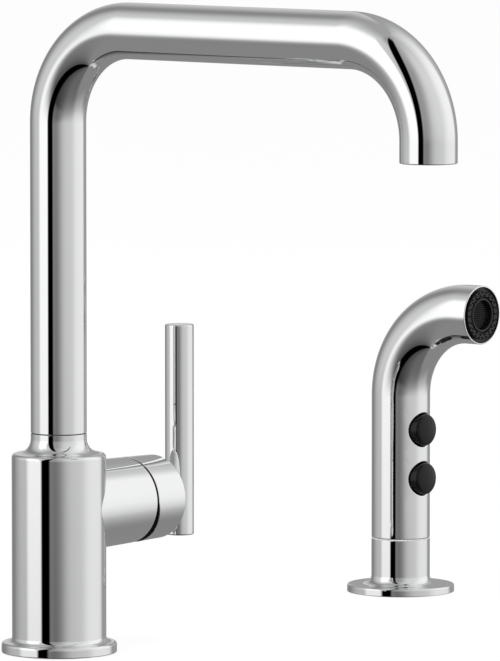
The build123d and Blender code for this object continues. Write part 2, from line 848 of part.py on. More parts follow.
with BuildPart() as bonnet_nut:
    with BuildSketch(hub_section.offset(bonnet_start_x)):
        Circle(nut_bore_radius - thread_gap)
        Circle(bonnet_inner_radius, mode=Mode.SUBTRACT)
    extrude(amount=boss_end_x - bonnet_start_x)
    with BuildSketch(hub_section.offset(boss_end_x)):
        Circle(bonnet_head_radius)
        Circle(bonnet_inner_radius, mode=Mode.SUBTRACT)
    extrude(amount=bonnet_end_x - boss_end_x)
    # key notches round the head
    with BuildSketch(hub_section.offset(bonnet_end_x)):
        with PolarLocations(bonnet_head_radius, bonnet_notch_count):
            Rectangle(2 * bonnet_notch_depth, bonnet_notch_width)
    extrude(amount=-(bonnet_end_x - boss_end_x) / 2, mode=Mode.SUBTRACT)
bonnet_nut.part.label = "bonnet_nut"
export_step(bonnet_nut.part, "parts/bonnet_nut.step")

with BuildPart() as hub_seal:
    with BuildSketch(hub_section.offset(bonnet_end_x)):
        Circle(sleeve_bore_radius - seat_gap)
        Circle(hub_seal_hole_radius, mode=Mode.SUBTRACT)
    extrude(amount=hub_seal_thickness)
hub_seal.part.label = "hub_seal"
export_step(hub_seal.part, "parts/hub_seal.step")

# ---------------------------------------------------------------- cartridge

cartridge_start_x = cartridge_seat_x + seat_gap
fixed_disc_x = cartridge_start_x + cartridge_base_thickness
moving_disc_x = fixed_disc_x + disc_thickness + seat_gap
coupler_x = moving_disc_x + disc_thickness
cartridge_radius = cartridge_bore_radius - seat_gap
disc_ports = PolarLocations(disc_port_circle, 3, start_angle=30)
inlet_y = disc_port_circle * math.cos(math.radians(30))
inlet_z = disc_port_circle * math.sin(math.radians(30))
inlet_slot_angle = math.degrees(math.atan2(inlet_z, riser_passage_y - inlet_y))
inlet_slot_length = math.hypot(inlet_z, riser_passage_y - inlet_y)

with BuildPart() as cartridge_body:
    with BuildSketch(hub_profile):
        with BuildLine():
            Polyline(
                (cartridge_start_x, 0),
                (cartridge_start_x, cartridge_radius),
                (cartridge_shoulder_x, cartridge_radius),
                (cartridge_shoulder_x, nut_bore_radius - seat_gap),
                (bonnet_start_x, nut_bore_radius - seat_gap),
                (bonnet_start_x, cartridge_neck_radius),
                (cartridge_neck_end_x, cartridge_neck_radius),
                (cartridge_neck_end_x, rotor_bore_radius),
                (rotor_shoulder_x, rotor_bore_radius),
                (rotor_shoulder_x, cartridge_cavity_radius),
                (fixed_disc_x, cartridge_cavity_radius),
                (fixed_disc_x, 0),
                close=True,
            )
        make_face()
    revolve(axis=hub_axis)
    with BuildSketch(hub_section.offset(cartridge_start_x)):
        with disc_ports:
            Circle(disc_port_radius)
    extrude(amount=cartridge_base_thickness, mode=Mode.SUBTRACT)
    # slots under the base that lead the hot and cold passages to their ports
    with BuildSketch(hub_section.offset(cartridge_start_x)):
        for side in (1, -1):
            with Locations((side * (inlet_y + riser_passage_y) / 2, inlet_z / 2)):
                SlotCenterToCenter(
                    inlet_slot_length, 2 * passage_radius, rotation=-side * inlet_slot_angle
                )
    extrude(amount=cartridge_base_thickness / 2, mode=Mode.SUBTRACT)
    # two seal grooves
    with BuildSketch(hub_profile):
        with Locations(*[(seal_x, cartridge_radius) for seal_x in cartridge_seal_places]):
            Rectangle(2 * cartridge_seal_wire + seat_gap, 2 * cartridge_groove_depth)
    revolve(axis=hub_axis, mode=Mode.SUBTRACT)
cartridge_body.part.label = "cartridge_body"
export_step(cartridge_body.part, "parts/cartridge_body.step")

with BuildPart() as cartridge_seals:
    with BuildSketch(hub_profile):
        with Locations(
            *[(seal_x, cartridge_radius - cartridge_seal_wire) for seal_x in cartridge_seal_places]
        ):
            Circle(cartridge_seal_wire)
    revolve(axis=hub_axis)
cartridge_seals.part.label = "cartridge_seals"
export_step(cartridge_seals.part, "parts/cartridge_seals.step")

with BuildPart() as fixed_disc:
    with BuildSketch(hub_section.offset(fixed_disc_x)):
        Circle(fixed_disc_radius)
        with disc_ports:
            Circle(disc_port_radius, mode=Mode.SUBTRACT)
    extrude(amount=disc_thickness)
fixed_disc.part.label = "fixed_disc"
export_step(fixed_disc.part, "parts/fixed_disc.step")

with BuildPart() as moving_disc:
    with BuildSketch(hub_section.offset(moving_disc_x)):
        Circle(moving_disc_radius)
    extrude(amount=disc_thickness)
    # mixing hollow that bridges the ports
    with BuildSketch(hub_section.offset(moving_disc_x)):
        with Locations((0, -disc_port_radius)):
            Ellipse(disc_port_circle, disc_port_radius * 1.6)
    extrude(amount=disc_thickness / 2, mode=Mode.SUBTRACT)
moving_disc.part.label = "moving_disc"
export_step(moving_disc.part, "parts/moving_disc.step")

with BuildPart() as disc_coupler:
    with BuildSketch(hub_section.offset(coupler_x)):
        Circle(coupler_radius)
    extrude(amount=coupler_thickness)
    with BuildSketch(hub_section.offset(coupler_x + coupler_thickness)):
        Circle(stem_ball_radius + running_gap)
    extrude(amount=body_gap - coupler_thickness, mode=Mode.SUBTRACT)
disc_coupler.part.label = "disc_coupler"
export_step(disc_coupler.part, "parts/disc_coupler.step")

with BuildPart() as stem_carrier:
    with BuildSketch(hub_section.offset(rotor_start_x)):
        Circle(cartridge_cavity_radius - running_gap)
    extrude(amount=rotor_shoulder_x - seat_gap - rotor_start_x)
    with BuildSketch(hub_section.offset(rotor_shoulder_x - seat_gap)):
        Circle(rotor_bore_radius - running_gap)
    extrude(amount=rotor_end_x - rotor_shoulder_x + seat_gap)
    # slot that the stem tilts in
    with BuildSketch(hub_section.offset(rotor_start_x)):
        Rectangle(stem_bar_width + 2 * body_gap, stem_slot_height)
    extrude(amount=rotor_end_x - rotor_start_x, mode=Mode.SUBTRACT)
    # cross hole for the pivot pin
    with BuildSketch(pivot_section):
        Circle(pivot_pin_radius + thread_gap)
    extrude(amount=rotor_bore_radius, both=True, mode=Mode.SUBTRACT)
stem_carrier.part.label = "stem_carrier"
export_step(stem_carrier.part, "parts/stem_carrier.step")

with BuildPart() as stem_pin:
    with BuildSketch(pivot_section):
        Circle(pivot_pin_radius)
    extrude(amount=pivot_pin_half_length, both=True)
stem_pin.part.label = "stem_pin"
export_step(stem_pin.part, "parts/stem_pin.step")

with BuildPart() as cartridge_stem:
    # ball end, flat bar through the pivot and square end for the handle
    with BuildSketch(hub_profile):
        with BuildLine():
            Line((stem_ball_x + stem_ball_radius, 0), (stem_ball_x - stem_ball_radius, 0))
            ThreePointArc(
                (stem_ball_x - stem_ball_radius, 0),
                (stem_ball_x, stem_ball_radius),
                (stem_ball_x + stem_ball_radius, 0),
            )
        make_face()
    revolve(axis=hub_axis)
    with BuildSketch(hub_section.offset(rotor_start_x)):
        Rectangle(stem_bar_width, stem_bar_height)
    extrude(amount=stem_square_x - rotor_start_x)
    with BuildSketch(hub_section.offset(stem_square_x)):
        Rectangle(stem_square, stem_square)
    extrude(amount=stem_end_x - stem_square_x)
    with BuildSketch(pivot_section):
        Circle(pivot_pin_radius + running_gap)
    extrude(amount=stem_bar_width, both=True, mode=Mode.SUBTRACT)
cartridge_stem.part.label = "cartridge_stem"
export_step(cartridge_stem.part, "parts/cartridge_stem.step")

# ---------------------------------------------------------------- handle

wedge_slope = math.tan(math.radians(handle_tilt_range))
wedge_depth = hub_root_radius * wedge_slope

with BuildPart() as handle_cap:
    with BuildSketch(hub_profile):
        with BuildLine():
            Polyline(
                (cap_start_x, hub_radius(cap_start_x)),
                (hub_end_x, hub_end_radius),
                (hub_end_x, 0),
                (cap_cavity_x, 0),
                (cap_cavity_x, hub_end_radius - cap_wall),
                (cap_start_x, hub_end_radius - cap_wall),
                close=True,
            )
        make_face()
    revolve(axis=hub_axis)
    cap_rims = handle_cap.edges().filter_by(GeomType.CIRCLE)
    end_rim = cap_rims.filter_by(lambda edge: abs(edge.arc_center.X - hub_end_x) < 0.01)
    fillet(end_rim, radius=cap_edge_round)
    start_rim = (
        handle_cap.edges()
        .filter_by(GeomType.CIRCLE)
        .filter_by(lambda edge: abs(edge.arc_center.X - cap_start_x) < 0.01)
        .sort_by(SortBy.LENGTH)[-1]
    )
    fillet(start_rim, radius=hub_edge_round)
    # wedge cut away below the middle, so that the cap can tilt
    with BuildSketch(hub_profile):
        with BuildLine():
            Polyline(
                (cap_start_x, 0),
                (cap_start_x + wedge_depth, -hub_root_radius),
                (cap_start_x, -hub_root_radius),
                close=True,
            )
        make_face()
    extrude(amount=hub_root_radius, both=True, mode=Mode.SUBTRACT)
    # socket for the stem's square end
    with BuildSketch(hub_section.offset(cap_boss_x)):
        Circle(cap_boss_radius)
        Rectangle(stem_square + 2 * seat_gap, stem_square + 2 * seat_gap, mode=Mode.SUBTRACT)
    extrude(amount=cap_cavity_x - cap_boss_x)
    # screw hole from below, through the wall and the socket
    with BuildSketch(Plane(origin=(set_screw_x, 0, hub_height), x_dir=(1, 0, 0), z_dir=(0, 0, -1))):
        Circle(set_screw_radius + thread_gap)
    extrude(amount=hub_root_radius, mode=Mode.SUBTRACT)
    # blind hole for the post's tenon
    with BuildSketch(hub_section.offset(hub_end_x)):
        Circle(post_tenon_radius)
    extrude(amount=-post_tenon_length, mode=Mode.SUBTRACT)
handle_cap.part.label = "handle_cap"
export_step(handle_cap.part, "parts/handle_cap.step")

set_screw_start = stem_square / 2 + seat_gap

with BuildPart() as handle_set_screw:
    with BuildSketch(
        Plane(
            origin=(set_screw_x, 0, hub_height - set_screw_start),
            x_dir=(1, 0, 0),
            z_dir=(0, 0, -1),
        )
    ):
        Circle(set_screw_radius)
    extrude(amount=set_screw_length)
    with BuildSketch(
        Plane(
            origin=(set_screw_x, 0, hub_height - set_screw_start - set_screw_length),
            x_dir=(1, 0, 0),
            z_dir=(0, 0, -1),
        )
    ):
        RegularPolygon(radius=set_screw_key / 2, side_count=6)
    extrude(amount=-set_screw_key, mode=Mode.SUBTRACT)
handle_set_screw.part.label = "handle_set_screw"
export_step(handle_set_screw.part, "parts/handle_set_screw.step")

rod_face_x = lever_x - lever_radius

with BuildPart() as lever_post:
    with BuildSketch(hub_section.offset(hub_end_x)):
        Circle(post_radius)
    extrude(amount=lever_x - hub_end_x)
    with BuildSketch(hub_section.offset(hub_end_x)):
        Circle(post_tenon_radius - thread_gap)
    extrude(amount=-(post_tenon_length - seat_gap))
    # saddle that fits the rod, with a tenon into it
    with BuildSketch(lever_section):
        Circle(lever_radius)
    extrude(amount=lever_top - lever_bottom, mode=Mode.SUBTRACT)
    with BuildSketch(hub_section.offset(rod_face_x - seat_gap)):
        Circle(post_tenon_radius - thread_gap)
    extrude(amount=post_tenon_length)
lever_post.part.label = "lever_post"
export_step(lever_post.part, "parts/lever_post.step")

with BuildPart() as lever_rod:
    with BuildSketch(lever_section):
        Circle(lever_radius)
    extrude(amount=lever_top - lever_bottom)
    fillet(lever_rod.edges().filter_by(GeomType.CIRCLE), radius=lever_edge_round)
    with BuildSketch(hub_section.offset(rod_face_x - lever_edge_round)):
        Circle(post_tenon_radius)
    extrude(amount=post_tenon_length + lever_edge_round, mode=Mode.SUBTRACT)
lever_rod.part.label = "lever_rod"
export_step(lever_rod.part, "parts/lever_rod.step")

# ---------------------------------------------------------------- side spray: holder in the deck

with BuildPart() as holder_gasket:
    with BuildSketch(spray_section):
        Circle(holder_gasket_radius)
        Circle(holder_shank_radius + body_gap, mode=Mode.SUBTRACT)
    extrude(amount=holder_gasket_thickness)
holder_gasket.part.label = "holder_gasket"
export_step(holder_gasket.part, "parts/holder_gasket.step")

with BuildPart() as spray_holder:
    with BuildSketch(spray_profile):
        with BuildLine():
            Polyline(
                (holder_shank_radius + thread_gap, holder_gasket_thickness),
                (holder_gasket_radius + seat_gap, holder_gasket_thickness),
                (holder_gasket_radius + seat_gap, gasket_proud),
                (holder_flange_radius, gasket_proud),
                (holder_flange_radius, holder_flange_top),
                (holder_radius + holder_fillet, holder_flange_top),
            )
            RadiusArc(
                (holder_radius + holder_fillet, holder_flange_top),
                (holder_radius, holder_flange_top + holder_fillet),
                holder_fillet,
            )
            Polyline(
                (holder_radius, holder_flange_top + holder_fillet),
                (holder_radius, holder_top),
                (holder_bore_radius, holder_top),
                (holder_bore_radius, holder_shank_top),
                (holder_shank_radius + thread_gap, holder_shank_top),
                (holder_shank_radius + thread_gap, holder_gasket_thickness),
            )
        make_face()
    revolve(axis=spray_axis)
    flange_rim = (
        spray_holder.edges()
        .filter_by(GeomType.CIRCLE)
        .filter_by(lambda edge: abs(edge.radius - holder_flange_radius) < 0.01)
        .sort_by(Axis.Z)
    )
    fillet(flange_rim[-1], radius=holder_flange_round)
spray_holder.part.label = "spray_holder"
export_step(spray_holder.part, "parts/spray_holder.step")

liner_radius = holder_bore_radius - thread_gap
liner_bore_radius = liner_radius - liner_wall

with BuildPart() as holder_liner:
    with BuildSketch(spray_section.offset(liner_bottom)):
        Circle(liner_radius)
        Circle(liner_bore_radius, mode=Mode.SUBTRACT)
    extrude(amount=holder_top - liner_bottom)
    with BuildSketch(spray_section.offset(holder_top)):
        Circle(liner_flange_radius)
        Circle(liner_bore_radius, mode=Mode.SUBTRACT)
    extrude(amount=liner_flange_thickness)
holder_liner.part.label = "holder_liner"
export_step(holder_liner.part, "parts/holder_liner.step")

holder_thread_top = deck_underside - thread_pitch
holder_thread_bottom = -holder_shank_drop + holder_shank_lead_length

with BuildPart() as holder_shank:
    with BuildSketch(spray_profile):
        with BuildLine():
            Polyline(
                (holder_bore_radius, holder_shank_top),
                (holder_shank_radius, holder_shank_top),
                (holder_shank_radius, holder_thread_top),
                *thread_points(
                    holder_shank_radius,
                    holder_thread_depth,
                    holder_thread_top,
                    holder_thread_bottom,
                    thread_pitch,
                ),
                (holder_shank_lead_radius, holder_thread_bottom),
                (holder_shank_lead_radius, -holder_shank_drop),
                (holder_waist_radius, -holder_shank_drop),
                (holder_waist_radius, liner_bottom - seat_gap),
                (holder_bore_radius, liner_bottom - seat_gap),
                close=True,
            )
        make_face()
    revolve(axis=spray_axis)
holder_shank.part.label = "holder_shank"
export_step(holder_shank.part, "parts/holder_shank.step")

with BuildPart() as holder_washer:
    with BuildSketch(spray_section.offset(deck_underside)):
        Circle(holder_washer_radius)
        Circle(holder_shank_radius + body_gap, mode=Mode.SUBTRACT)
    extrude(amount=-rubber_washer_thickness)
holder_washer.part.label = "holder_washer"
export_step(holder_washer.part, "parts/holder_washer.step")

wing_circle = holder_nut_radius + holder_nut_wing / 2 - holder_nut_wing_root

with BuildPart() as holder_nut:
    with BuildSketch(spray_section.offset(deck_underside - rubber_washer_thickness)):
        Circle(holder_nut_radius)
        with PolarLocations(wing_circle, holder_nut_wing_count):
            Rectangle(holder_nut_wing, holder_nut_wing_width)
        Circle(holder_shank_radius + thread_gap, mode=Mode.SUBTRACT)
    extrude(amount=-holder_nut_thickness)
holder_nut.part.label = "holder_nut"
export_step(holder_nut.part, "parts/holder_nut.step")

# ---------------------------------------------------------------- hose connector

connector_seal_height = wand_spigot_bottom + connector_seal_depth
connector_top = wand_spigot_bottom + connector_depth

with BuildPart() as hose_connector:
    with BuildSketch(spray_section.offset(connector_bottom)):
        RegularPolygon(radius=connector_radius, side_count=6, major_radius=False)
    extrude(amount=wand_spigot_bottom - body_gap - connector_bottom)
    with BuildSketch(spray_section.offset(wand_spigot_bottom - body_gap)):
        Circle(connector_radius)
    extrude(amount=connector_depth + body_gap)
    with BuildSketch(spray_profile):
        with Locations((connector_radius, connector_seal_height)):
            Rectangle(2 * (2 * seal_wire_radius + seat_gap), seal_groove)
    revolve(axis=spray_axis, mode=Mode.SUBTRACT)
    with BuildSketch(spray_section.offset(connector_bottom)):
        Circle(hose_thread_radius)
    extrude(amount=hose_thread_depth, mode=Mode.SUBTRACT)
    with BuildSketch(spray_section.offset(connector_bottom)):
        Circle(connector_waterway_radius)
    extrude(amount=connector_top - connector_bottom, mode=Mode.SUBTRACT)
hose_connector.part.label = "hose_connector"
export_step(hose_connector.part, "parts/hose_connector.step")

with BuildPart() as connector_seal:
    with BuildSketch(spray_profile):
        with Locations((connector_radius - seal_wire_radius, connector_seal_height)):
            Circle(seal_wire_radius)
    revolve(axis=spray_axis)
connector_seal.part.label = "connector_seal"
export_step(connector_seal.part, "parts/connector_seal.step")

# ---------------------------------------------------------------- spray wand

button_heights = {"upper": upper_button_height, "lower": lower_button_height}
wand_bore_radius = wand_radius - wand_wall

with BuildPart() as wand_shell:
    with BuildLine():
        wand_path = FilletPolyline(
            (spray_x, spray_y, wand_bottom),
            (spray_x, spray_y, wand_axis_height),
            (spray_x, spray_y - wand_reach, wand_axis_height),
            radius=wand_bend_radius,
        )
    with BuildSketch(spray_section.offset(wand_bottom)):
        Circle(wand_radius)
        Circle(wand_bore_radius, mode=Mode.SUBTRACT)
    sweep(path=wand_path)
    shell_rims = wand_shell.edges().filter_by(GeomType.CIRCLE)
    shell_rims = shell_rims.filter_by(lambda edge: abs(edge.radius - wand_radius) < 0.01)
    fillet([shell_rims.sort_by(Axis.Z)[0], shell_rims.sort_by(Axis.Y)[0]], radius=wand_edge_round)
    # recess for the spray face
    with BuildSketch(head_section.offset(wand_reach)):
        Circle(wand_radius - face_rim_wall)
    extrude(amount=-face_recess_depth, mode=Mode.SUBTRACT)
    # round holes for the two buttons
    for button_height in button_heights.values():
        hole_section = Plane(
            origin=(spray_x, spray_y, button_height), x_dir=(1, 0, 0), z_dir=(0, -1, 0)
        )
        with BuildSketch(hole_section):
            Circle(button_hole_radius)
        extrude(amount=2 * wand_radius, mode=Mode.SUBTRACT)
wand_shell.part.label = "wand_shell"
export_step(wand_shell.part, "parts/wand_shell.step")

core_radius = wand_bore_radius - thread_gap
plug_top = wand_bottom + wand_plug_height

with BuildPart() as wand_spigot:
    with BuildSketch(spray_section.offset(wand_bottom)):
        Circle(core_radius)
    extrude(amount=wand_plug_height)
    with BuildSketch(spray_section.offset(wand_spigot_bottom)):
        Circle(wand_spigot_radius)
    extrude(amount=wand_bottom - wand_spigot_bottom)
    with BuildSketch(spray_section.offset(wand_spigot_bottom)):
        Circle(connector_radius + running_gap)
    extrude(amount=connector_depth + body_gap, mode=Mode.SUBTRACT)
    with BuildSketch(spray_section.offset(wand_spigot_bottom)):
        Circle(connector_waterway_radius)
    extrude(amount=plug_top - wand_spigot_bottom, mode=Mode.SUBTRACT)
wand_spigot.part.label = "wand_spigot"
export_step(wand_spigot.part, "parts/wand_spigot.step")

with BuildPart() as wand_core:
    with BuildSketch(spray_section.offset(plug_top)):
        Circle(core_radius)
    extrude(amount=core_top - plug_top)
    # gallery at the bottom that leads the water to the channel beside the buttons
    with BuildSketch(spray_section.offset(plug_top)):
        with Locations((0, channel_y / 2)):
            SlotCenterToCenter(channel_y, 2 * connector_waterway_radius, rotation=90)
    extrude(amount=core_gallery_height, mode=Mode.SUBTRACT)
    with BuildSketch(spray_section.offset(plug_top)):
        with Locations((0, channel_y)):
            Circle(channel_radius)
    extrude(amount=core_top - plug_top, mode=Mode.SUBTRACT)
    # socket for the inner tube
    with BuildSketch(spray_section.offset(core_top)):
        with Locations((0, channel_y)):
            Circle(waterway_tube_radius + thread_gap)
    extrude(amount=-tube_socket_depth, mode=Mode.SUBTRACT)
    # a stepped pocket and a plunger hole behind each button
    for button_height in button_heights.values():
        pocket_section = Plane(
            origin=(spray_x, spray_y, button_height), x_dir=(1, 0, 0), z_dir=(0, -1, 0)
        )
        with BuildSketch(pocket_section.offset(button_pocket_floor)):
            Circle(button_flange_radius + body_gap)
        extrude(amount=wand_radius, mode=Mode.SUBTRACT)
        with BuildSketch(pocket_section.offset(button_pocket_floor)):
            Circle(plunger_hole_radius)
        extrude(amount=-channel_y, mode=Mode.SUBTRACT)
wand_core.part.label = "wand_core"
export_step(wand_core.part, "parts/wand_core.step")

recess_floor = wand_reach - face_recess_depth
manifold_back = recess_floor - manifold_thickness

with BuildPart() as waterway_tube:
    with BuildLine():
        tube_path = FilletPolyline(
            (spray_x, spray_y + channel_y, core_top - tube_socket_depth),
            (spray_x, spray_y + channel_y, wand_axis_height + channel_y),
            (spray_x, spray_y - manifold_back, wand_axis_height + channel_y),
            radius=wand_bend_radius,
        )
    with BuildSketch(spray_section.offset(core_top - tube_socket_depth)):
        with Locations((0, channel_y)):
            Circle(waterway_tube_radius)
            Circle(waterway_tube_radius - waterway_tube_wall, mode=Mode.SUBTRACT)
    sweep(path=tube_path)
waterway_tube.part.label = "waterway_tube"
export_step(waterway_tube.part, "parts/waterway_tube.step")

# ---------------------------------------------------------------- buttons

for button_name, button_height in button_heights.items():
    button_plane = Plane(origin=(spray_x, spray_y, button_height), x_dir=(1, 0, 0), z_dir=(0, 0, 1))
    button_axis = Axis((spray_x, spray_y, button_height), (0, -1, 0))
    with BuildPart() as button:
        with BuildSketch(button_plane):
            with BuildLine():
                ThreePointArc(
                    (0, -button_crown),
                    (button_radius / 2, -button_crown + (button_crown - button_rim) / 4),
                    (button_radius, -button_rim),
                )
                Polyline(
                    (button_radius, -button_rim),
                    (button_radius, -button_flange_front),
                    (button_flange_radius, -button_flange_front),
                    (button_flange_radius, -button_flange_back),
                    (plunger_radius, -button_flange_back),
                    (plunger_radius, -plunger_end),
                    (0, -plunger_end),
                    (0, -button_crown),
                )
            make_face()
        revolve(axis=button_axis)
        rim_edges = button.edges().filter_by(GeomType.CIRCLE)
        rim_edges = rim_edges.filter_by(
            lambda edge: abs(edge.arc_center.Y - (spray_y - button_rim)) < 0.01
        )
        fillet(rim_edges, radius=button_rim_round)
    button.part.label = f"{button_name}_button"
    export_step(button.part, f"parts/{button_name}_button.step")

    spring_space = button_flange_back - button_pocket_floor - 2 * button_spring_wire - seat_gap
    with BuildPart() as button_spring:
        with BuildLine():
            button_coil = Helix(
                pitch=spring_space / button_spring_turns,
                height=spring_space,
                radius=button_spring_radius,
                center=(spray_x, spray_y - button_pocket_floor - button_spring_wire, button_height),
                direction=(0, -1, 0),
            )
        with BuildSketch(Plane(origin=button_coil @ 0, z_dir=button_coil % 0)):
            Circle(button_spring_wire)
        sweep(path=button_coil, is_frenet=True)
    button_spring.part.label = f"{button_name}_button_spring"
    export_step(button_spring.part, f"parts/{button_name}_button_spring.step")

# ---------------------------------------------------------------- spray head

with BuildPart() as head_manifold:
    with BuildSketch(head_section.offset(manifold_back)):
        Circle(core_radius)
    extrude(amount=manifold_thickness)
    # stub that takes the inner tube
    with BuildSketch(head_section.offset(manifold_back)):
        with Locations((0, channel_y)):
            Circle(manifold_stub_radius)
            Circle(waterway_tube_radius + thread_gap, mode=Mode.SUBTRACT)
    extrude(amount=-manifold_stub_length)
    with BuildSketch(head_section.offset(manifold_back)):
        with Locations((0, channel_y)):
            Circle(waterway_tube_radius - waterway_tube_wall)
    extrude(amount=manifold_thickness, mode=Mode.SUBTRACT)
    # shallow chamber behind the face
    with BuildSketch(head_section.offset(recess_floor)):
        Circle(face_plateau_radius)
    extrude(amount=-manifold_thickness / 3, mode=Mode.SUBTRACT)
head_manifold.part.label = "head_manifold"
export_step(head_manifold.part, "parts/head_manifold.step")

face_radius = wand_radius - face_rim_wall - thread_gap
plateau_front = wand_reach + face_plateau_proud

with BuildPart() as spray_face:
    with BuildSketch(head_section.offset(recess_floor)):
        Circle(face_radius)
    extrude(amount=face_recess_depth - face_groove_back)
    with BuildSketch(head_section.offset(recess_floor)):
        Circle(face_plateau_radius)
    extrude(amount=plateau_front - recess_floor)
    with BuildSketch(head_section.offset(plateau_front)):
        for ring_radius, nozzle_count in zip(nozzle_ring_radii, nozzle_ring_counts):
            with PolarLocations(ring_radius, nozzle_count):
                Circle(nozzle_radius)
    extrude(amount=nozzle_height)
    with BuildSketch(head_section.offset(recess_floor)):
        Circle(stream_radius + thread_gap)
    extrude(amount=plateau_front - recess_floor, mode=Mode.SUBTRACT)
    with BuildSketch(head_section.offset(recess_floor)):
        for ring_radius, nozzle_count in zip(nozzle_ring_radii, nozzle_ring_counts):
            with PolarLocations(ring_radius, nozzle_count):
                Circle(nozzle_hole_radius)
    extrude(amount=plateau_front + nozzle_height - recess_floor, mode=Mode.SUBTRACT)
spray_face.part.label = "spray_face"
export_step(spray_face.part, "parts/spray_face.step")

stream_front = wand_reach + stream_proud

with BuildPart() as stream_insert:
    with BuildSketch(head_section.offset(recess_floor)):
        Circle(stream_radius)
    extrude(amount=stream_front - recess_floor)
    with BuildSketch(head_section.offset(stream_front)):
        Circle(stream_cup_radius)
    extrude(amount=-stream_cup_depth, mode=Mode.SUBTRACT)
    with BuildSketch(head_section.offset(recess_floor)):
        with PolarLocations(stream_cup_radius / 2, stream_hole_count):
            Circle(stream_hole_radius)
    extrude(amount=stream_front - recess_floor, mode=Mode.SUBTRACT)
stream_insert.part.label = "stream_insert"
export_step(stream_insert.part, "parts/stream_insert.step")

with BuildPart() as stream_screen:
    with BuildSketch(head_section.offset(stream_front - stream_cup_depth)):
        Circle(stream_cup_radius - thread_gap)
        with GridLocations(mesh_pitch, mesh_pitch, 5, 5):
            Rectangle(mesh_hole, mesh_hole, mode=Mode.SUBTRACT)
    extrude(amount=mesh_thickness)
stream_screen.part.label = "stream_screen"
export_step(stream_screen.part, "parts/stream_screen.step")
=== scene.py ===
import math
import bpy
import bmesh
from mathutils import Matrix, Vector
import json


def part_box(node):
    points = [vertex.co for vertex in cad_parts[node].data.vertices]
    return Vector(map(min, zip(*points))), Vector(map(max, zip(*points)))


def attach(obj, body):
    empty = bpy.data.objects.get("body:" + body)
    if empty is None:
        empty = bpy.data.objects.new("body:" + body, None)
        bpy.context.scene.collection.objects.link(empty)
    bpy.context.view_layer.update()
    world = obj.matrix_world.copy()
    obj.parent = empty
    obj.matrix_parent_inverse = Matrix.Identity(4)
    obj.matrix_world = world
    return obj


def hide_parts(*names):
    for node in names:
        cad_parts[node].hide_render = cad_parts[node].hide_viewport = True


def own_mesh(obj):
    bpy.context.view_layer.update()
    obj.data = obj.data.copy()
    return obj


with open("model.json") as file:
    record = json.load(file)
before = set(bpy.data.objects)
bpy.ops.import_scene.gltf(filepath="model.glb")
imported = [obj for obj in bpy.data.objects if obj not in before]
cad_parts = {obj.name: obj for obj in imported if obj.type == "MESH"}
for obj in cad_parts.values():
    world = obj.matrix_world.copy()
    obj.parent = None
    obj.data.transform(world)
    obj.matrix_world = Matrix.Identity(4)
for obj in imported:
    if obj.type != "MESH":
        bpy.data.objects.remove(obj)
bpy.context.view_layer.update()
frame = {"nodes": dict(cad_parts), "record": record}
print("frame loaded:", len(frame["nodes"]), "nodes")

mm = 0.001
flush = 0.01  # millimetres within which two measures are taken as one
scene = bpy.context.scene


# camera at the photograph's place
camera = {
    "place": (-2.51767, -2.1653, 0.4405),
    "heading": (0.77424, 0.63289),
    "pitch": 5.16,  # degrees down
    "lens": 418.5,
    "sensor": 36,
    "clip": (0.1, 60),
}
cameraData = bpy.data.cameras.new("photoCamera")
cameraData.lens = camera["lens"]
cameraData.sensor_width = camera["sensor"]
cameraData.clip_start, cameraData.clip_end = camera["clip"]
cameraObject = bpy.data.objects.new("photoCamera", cameraData)
scene.collection.objects.link(cameraObject)
cameraObject.location = camera["place"]
pitch = math.radians(camera["pitch"])
east, north = camera["heading"]
lookWay = Vector((east * math.cos(pitch), north * math.cos(pitch), -math.sin(pitch)))
cameraObject.rotation_euler = lookWay.to_track_quat("-Z", "Y").to_euler()
scene.camera = cameraObject
scene.view_settings.view_transform = "Standard"


# a node socket that can be used in arithmetic
class Wire:
    def __init__(self, tree, socket=None):
        self.tree = tree
        self.socket = socket

    def node(self, kind, settings=None, inputs=None, output=0):
        made = self.tree.nodes.new(kind)
        for key, value in (settings or {}).items():
            setattr(made, key, value)
        for key, value in (inputs or {}).items():
            if isinstance(value, Wire):
                self.tree.links.new(value.socket, made.inputs[key])
            else:
                made.inputs[key].default_value = value
        return Wire(self.tree, made.outputs[output]) if made.outputs else made

    def beside(self, output):
        # another output of the same node
        return Wire(self.tree, self.socket.node.outputs[output])

    def maths(self, operation, left, right=0.0):
        return self.node("ShaderNodeMath", {"operation": operation}, {0: left, 1: right})

    def __add__(self, other):
        return self.maths("ADD", self, other)

    def __radd__(self, other):
        return self.maths("ADD", other, self)

    def __sub__(self, other):
        return self.maths("SUBTRACT", self, other)

    def __rsub__(self, other):
        return self.maths("SUBTRACT", other, self)

    def __mul__(self, other):
        return self.maths("MULTIPLY", self, other)

    def __rmul__(self, other):
        return self.maths("MULTIPLY", other, self)

    def __truediv__(self, other):
        return self.maths("DIVIDE", self, other)


def vectorMaths(wire, operation, left, right):
    return wire.node("ShaderNodeVectorMath", {"operation": operation}, {0: left, 1: right})


def scaled(wire, vector, factor):
    return wire.node("ShaderNodeVectorMath", {"operation": "SCALE"}, {
        0: vector, "Scale": factor,
    })


def apart(wire, vector):
    # the three numbers of a vector
    split = wire.node("ShaderNodeSeparateXYZ", {}, {0: vector})
    return [split.beside(number) for number in range(3)]


def rise(wire, value, middle, width):
    # a soft step from 0 to 1
    return wire.node("ShaderNodeMapRange", {"interpolation_type": "SMOOTHSTEP"}, {
        0: value, 1: middle - width / 2, 2: middle + width / 2, 3: 0.0, 4: 1.0,
    })


def mixColour(wire, mask, low, high):
    # inputs 6 and 7 and output 2 are the node's colour sockets
    return wire.node("ShaderNodeMix", {"data_type": "RGBA"}, {0: mask, 6: low, 7: high}, output=2)


def grey(value):
    return (value, value, value, 1)


def newMaterial(name):
    material = bpy.data.materials.new(name)
    material.use_nodes = True
    material.node_tree.nodes.clear()
    wire = Wire(material.node_tree)
    coords = wire.node("ShaderNodeTexCoord", output=3)
    return material, wire, coords


